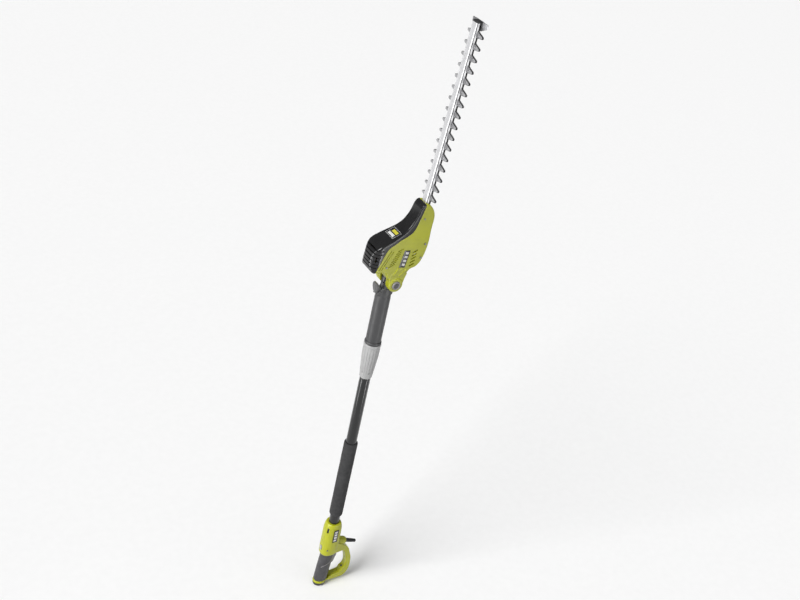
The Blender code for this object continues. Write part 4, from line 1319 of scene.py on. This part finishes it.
@dataclass
class Blades:
    """The two toothed blades, the rail that carries them and the guard over their tip."""

    gear_z: float = 102.325
    blade_x: float = 49.5
    play: float = 0.2
    thick: float = 2.4
    half: float = 9.0
    crank_throw: float = 7.0
    crank_r: float = 7.0
    reach: float = 29.3
    pitch: float = 27.0
    first: float = 226.0
    count: int = 16
    end: float = 650.0
    tip_end: float = 662.0
    cap: float = 4.4
    rail_x: float = 38.4

    def tooth(self, z: float) -> list[tuple[float, float]]:
        """One tooth's outline on the +y side, with a rounded tip.

        Args:
            z: the middle of the tooth.

        Returns:
            Points as (y, z), from the root below it to the root above it.
        """
        low, high = z - 3.2, z + 2.2
        tip = [(self.reach - 2.0, low - 0.2), (self.reach - 0.5, low + 0.5), (self.reach, low + 1.7),
               (self.reach, high - 1.5), (self.reach - 0.5, high - 0.3), (self.reach - 1.8, high + 0.6)]
        return [(self.half, z - 7.6), (self.half + 0.5, z - 6.9), (self.half + 1.6, z - 6.5), *tip,
                (self.half + 1.3, z + 7.9), (self.half + 0.4, z + 8.5), (self.half, z + 9.4)]

    def blade(self, low: float) -> bmesh.types.BMesh:
        """One toothed blade.

        Args:
            low: the x level of its lower face.

        Returns:
            The blade, with ground bevels along its teeth.
        """
        side = [(self.half, 134)]
        for k in range(self.count):
            side += self.tooth(self.first + k * self.pitch)
        side += [(self.half, self.end - 4), (self.half - 3, self.end - 1)]
        wide, long = 20.5, 26.4
        eye = [(wide - 9, self.gear_z - long), (wide - 2, self.gear_z - long + 11), (wide, self.gear_z),
               (wide - 2, self.gear_z + long - 11), (wide - 7, self.gear_z + long - 1)]
        half = eye + side
        outline = half + [(-y, z) for y, z in reversed(half)]
        shape = between([(low, y, z) for y, z in outline],
                        [(low + self.thick, y, z) for y, z in outline])
        rims = [e for e in shape.edges if abs(e.verts[0].co.x - e.verts[1].co.x) < SAME
                and min(v.co.z for v in e.verts) > self.first - 12]
        bmesh.ops.bevel(shape, geom=rims, offset=0.7, segments=1, profile=0.5, affect="EDGES",
                        clamp_overlap=True)
        reach = self.crank_throw + self.crank_r + 2 * GAP
        slot = (arc((0, self.gear_z + self.crank_throw), reach, 0, 180, 24)
                + arc((0, self.gear_z - self.crank_throw), reach, 180, 360, 24))
        return cut(shape, between([(low - 3, y, z) for y, z in slot],
                                  [(low + self.thick + 3, y, z) for y, z in slot]))

    def rail(self) -> bmesh.types.BMesh:
        """The support rail, with rounded shoulders, a side groove and a shallow channel on top."""
        high = self.blade_x - self.play - self.thick - GAP
        low = self.rail_x
        outline = [(-9, low + 1.6), (-8.5, low + 0.5), (-7.6, low), (-5.6, low), (-5.2, low + 0.35),
                   (5.2, low + 0.35), (5.6, low), (7.6, low), (8.5, low + 0.5), (9, low + 1.6),
                   (7.2, low + 1.7), (7.2, low + 3.4), (9, low + 3.5),
                   (9, high), (5.5, high), (5.5, high - 3), (-5.5, high - 3), (-5.5, high), (-9, high),
                   (-9, low + 3.5), (-7.2, low + 3.4), (-7.2, low + 1.7)]
        start, end = 140.0, self.tip_end - self.cap - GAP
        return between([(x, y, start) for y, x in outline], [(x, y, end) for y, x in outline])

    def build(self, place: Matrix) -> None:
        """Make every piece of the blade.

        Args:
            place: the head's own frame.
        """
        for name, low, body in (
                ("blade_upper", self.blade_x - self.play - self.thick, Body.BLADE_UPPER),
                ("blade_lower", self.blade_x + self.play, Body.BLADE_LOWER)):
            piece = add_piece(f"{name}_ground", self.blade(low), GROUND_STEEL, body, [name], place,
                              20.0)
            # The blades' side faces and tooth edges get painted shade, near black.
            shade_faces(piece, PAINTED_SHADE_STEEL, place, lambda middle, normal: abs(normal.x) < 0.9)
        rail = add_piece("blade_rail_satin", self.rail(), SATIN_ALLOY, Body.HEAD, ["blade_rail"],
                         place)
        # The faces inside the rail's side groove get painted shade, near black.
        start, end = self.rail_x + 1.2, self.rail_x + 3.6
        shade_faces(rail, PAINTED_SHADE_STEEL, place, lambda middle, normal: start < middle.x < end
                    and abs(middle.y) < self.half - 0.06)
        low = self.blade_x + self.play + self.thick + 2 * GAP
        plan = [(-self.half, 640), (-self.reach + 1.5, 650.2), (-self.reach, 651.6),
                (-self.reach, self.tip_end - 2), (-self.reach + 1, self.tip_end - 1),
                (-self.half, self.tip_end)]
        plan += [(-y, z) for y, z in reversed(plan)]
        tip = between([(low, y, z) for y, z in plan], [(low + 1.8, y, z) for y, z in plan])
        bmesh.ops.bevel(tip, geom=list(tip.edges), offset=0.4, segments=2, profile=0.5,
                        affect="EDGES", clamp_overlap=True)
        add_piece("tip_guard_plate", tip, GROUND_STEEL, Body.HEAD, ["tip_guard"], place)
        cap = block((self.rail_x, -self.half, self.tip_end - self.cap),
                    (self.blade_x + self.thick + 0.5, self.half, self.tip_end), 1.0)
        add_piece("tip_cap_moulding", cap, CORD_RUBBER, Body.HEAD, ["tip_cap"], place)


# ---------------------------------------------------------------- what stays as it is


@dataclass
class Insides:
    """The CAD pieces that keep their shape and only get their finish."""

    plain: tuple[tuple[Finish, tuple[str, ...]], ...] = (
        (DARK_STEEL, ("trigger_pin", "trigger_spring", "lock_spring", "tube_clamp", "handle_screw_1",
                      "handle_screw_2", "handle_screw_3", "lever_pin", "lever_spring", "pivot_bolt",
                      "index_disc", "motor_stator", "gear_plate", "pinion", "drive_gear",
                      "case_screw_1", "case_screw_2", "case_screw_3", "case_screw_4")),
        (GLOSS_BLACK, ("switch_body", "cord_clamp", "collet", "inner_tube_plug", "fan")),
        (PALE_GREY, ("terminal_block",)),
        (SATIN_ALLOY, ("inner_tube", "rear_bearing", "front_bearing")),
        (COPPER, ("rotor",)),
        (BRASS, ("brush_holder_near", "brush_holder_far")),
    )

    def dress(self) -> None:
        """Give each kept piece its finish."""
        for finish, names in self.plain:
            for name in names:
                item = frame["nodes"][name]
                item.data.materials.clear()
                item.data.materials.append(finish.material())
                log.info("%s keeps its shape, in %s", name, finish.name)


# ---------------------------------------------------------------- stage


@dataclass
class Stage:
    """The pale floor, the soft lights and the camera."""

    camera_place: Point = (-1.4096, -1.9134, 2.4190)
    camera_right: Point = (0.846, -0.500, 0.188)
    camera_up: Point = (0.138, 0.544, 0.828)
    lens: float = 51.17
    floor_half: float = 20.0
    strip_width: float = 0.11
    strip_height: float = 2.3
    strip_away: float = 0.9
    strip_level: float = 1.1

    @staticmethod
    def aimed(way: Vector) -> Euler:
        """The rotation of a light that shines along a direction."""
        return way.to_track_quat("-Z", "Y").to_euler()

    def build(self) -> None:
        """Set everything round the trimmer."""
        self.build_floor()
        self.build_lights()
        self.build_camera()

    def build_floor(self) -> None:
        """Lay the floor just under the trimmer's end."""
        level = CAD_BOX[0][2] - 0.0005
        size = self.floor_half
        mesh = bpy.data.meshes.new("floor")
        mesh.from_pydata([(-size, -size, level), (size, -size, level), (size, size, level),
                          (-size, size, level)], [], [(0, 1, 2, 3)])
        mesh.materials.append(FLOOR.material())
        linked("floor", mesh)

    def build_lights(self) -> None:
        """Set a broad soft key, a weak fill, two tall strips for the gloss, and a pale world."""
        for name, source, spread, strength in (("key", (-1.1, -0.2, 0.9), 30.0, 3.6),
                                               ("fill", (0.5, -1.0, 0.5), 60.0, 0.3)):
            data = bpy.data.lights.new(name, "SUN")
            data.angle = math.radians(spread)
            data.energy = strength
            linked(name, data).rotation_euler = self.aimed(-Vector(source))
        for name, bearing, strength in (("strip_left", -185.0, 11.0), ("strip_right", -70.0, 8.0)):
            data = bpy.data.lights.new(name, "AREA")
            data.shape = "RECTANGLE"
            data.size, data.size_y = self.strip_width, self.strip_height
            data.energy = strength
            light = linked(name, data)
            way = Vector((math.cos(math.radians(bearing)), math.sin(math.radians(bearing)), 0))
            light.location = way * self.strip_away + Vector((0, 0, self.strip_level))
            light.rotation_euler = self.aimed(-way)
            light.visible_camera = False
            light.visible_diffuse = False
        world = bpy.data.worlds.new("studio")
        world.use_nodes = True
        sky = world.node_tree.nodes["Background"]
        sky.inputs["Color"].default_value = (1.0, 1.0, 1.0, 1.0)
        sky.inputs["Strength"].default_value = 0.3
        bpy.context.scene.world = world
        bpy.context.scene.view_settings.view_transform = "Standard"

    def build_camera(self) -> None:
        """Stand the camera where it sees the trimmer's rear and near sides from above."""
        right = Vector(self.camera_right).normalized()
        up = Vector(self.camera_up)
        up = (up - up.dot(right) * right).normalized()
        back = right.cross(up)
        turn = Matrix((right, up, back)).transposed().to_4x4()
        data = bpy.data.cameras.new("camera")
        data.lens = self.lens
        data.sensor_width = 36.0
        data.clip_end = 100.0
        camera = linked("camera", data)
        camera.matrix_world = Matrix.Translation(Vector(self.camera_place)) @ turn
        bpy.context.scene.camera = camera


def main() -> None:
    """Build the trimmer's looks in order."""
    logging.basicConfig(level=logging.INFO, format="%(name)s: %(message)s")
    Stage().build()
    RearHandle().build()
    Pole().build()
    Yoke().build()
    head = Head()
    head.build()
    Blades().build(head.place)
    Insides().dress()


if __name__ == "__main__":
    main()
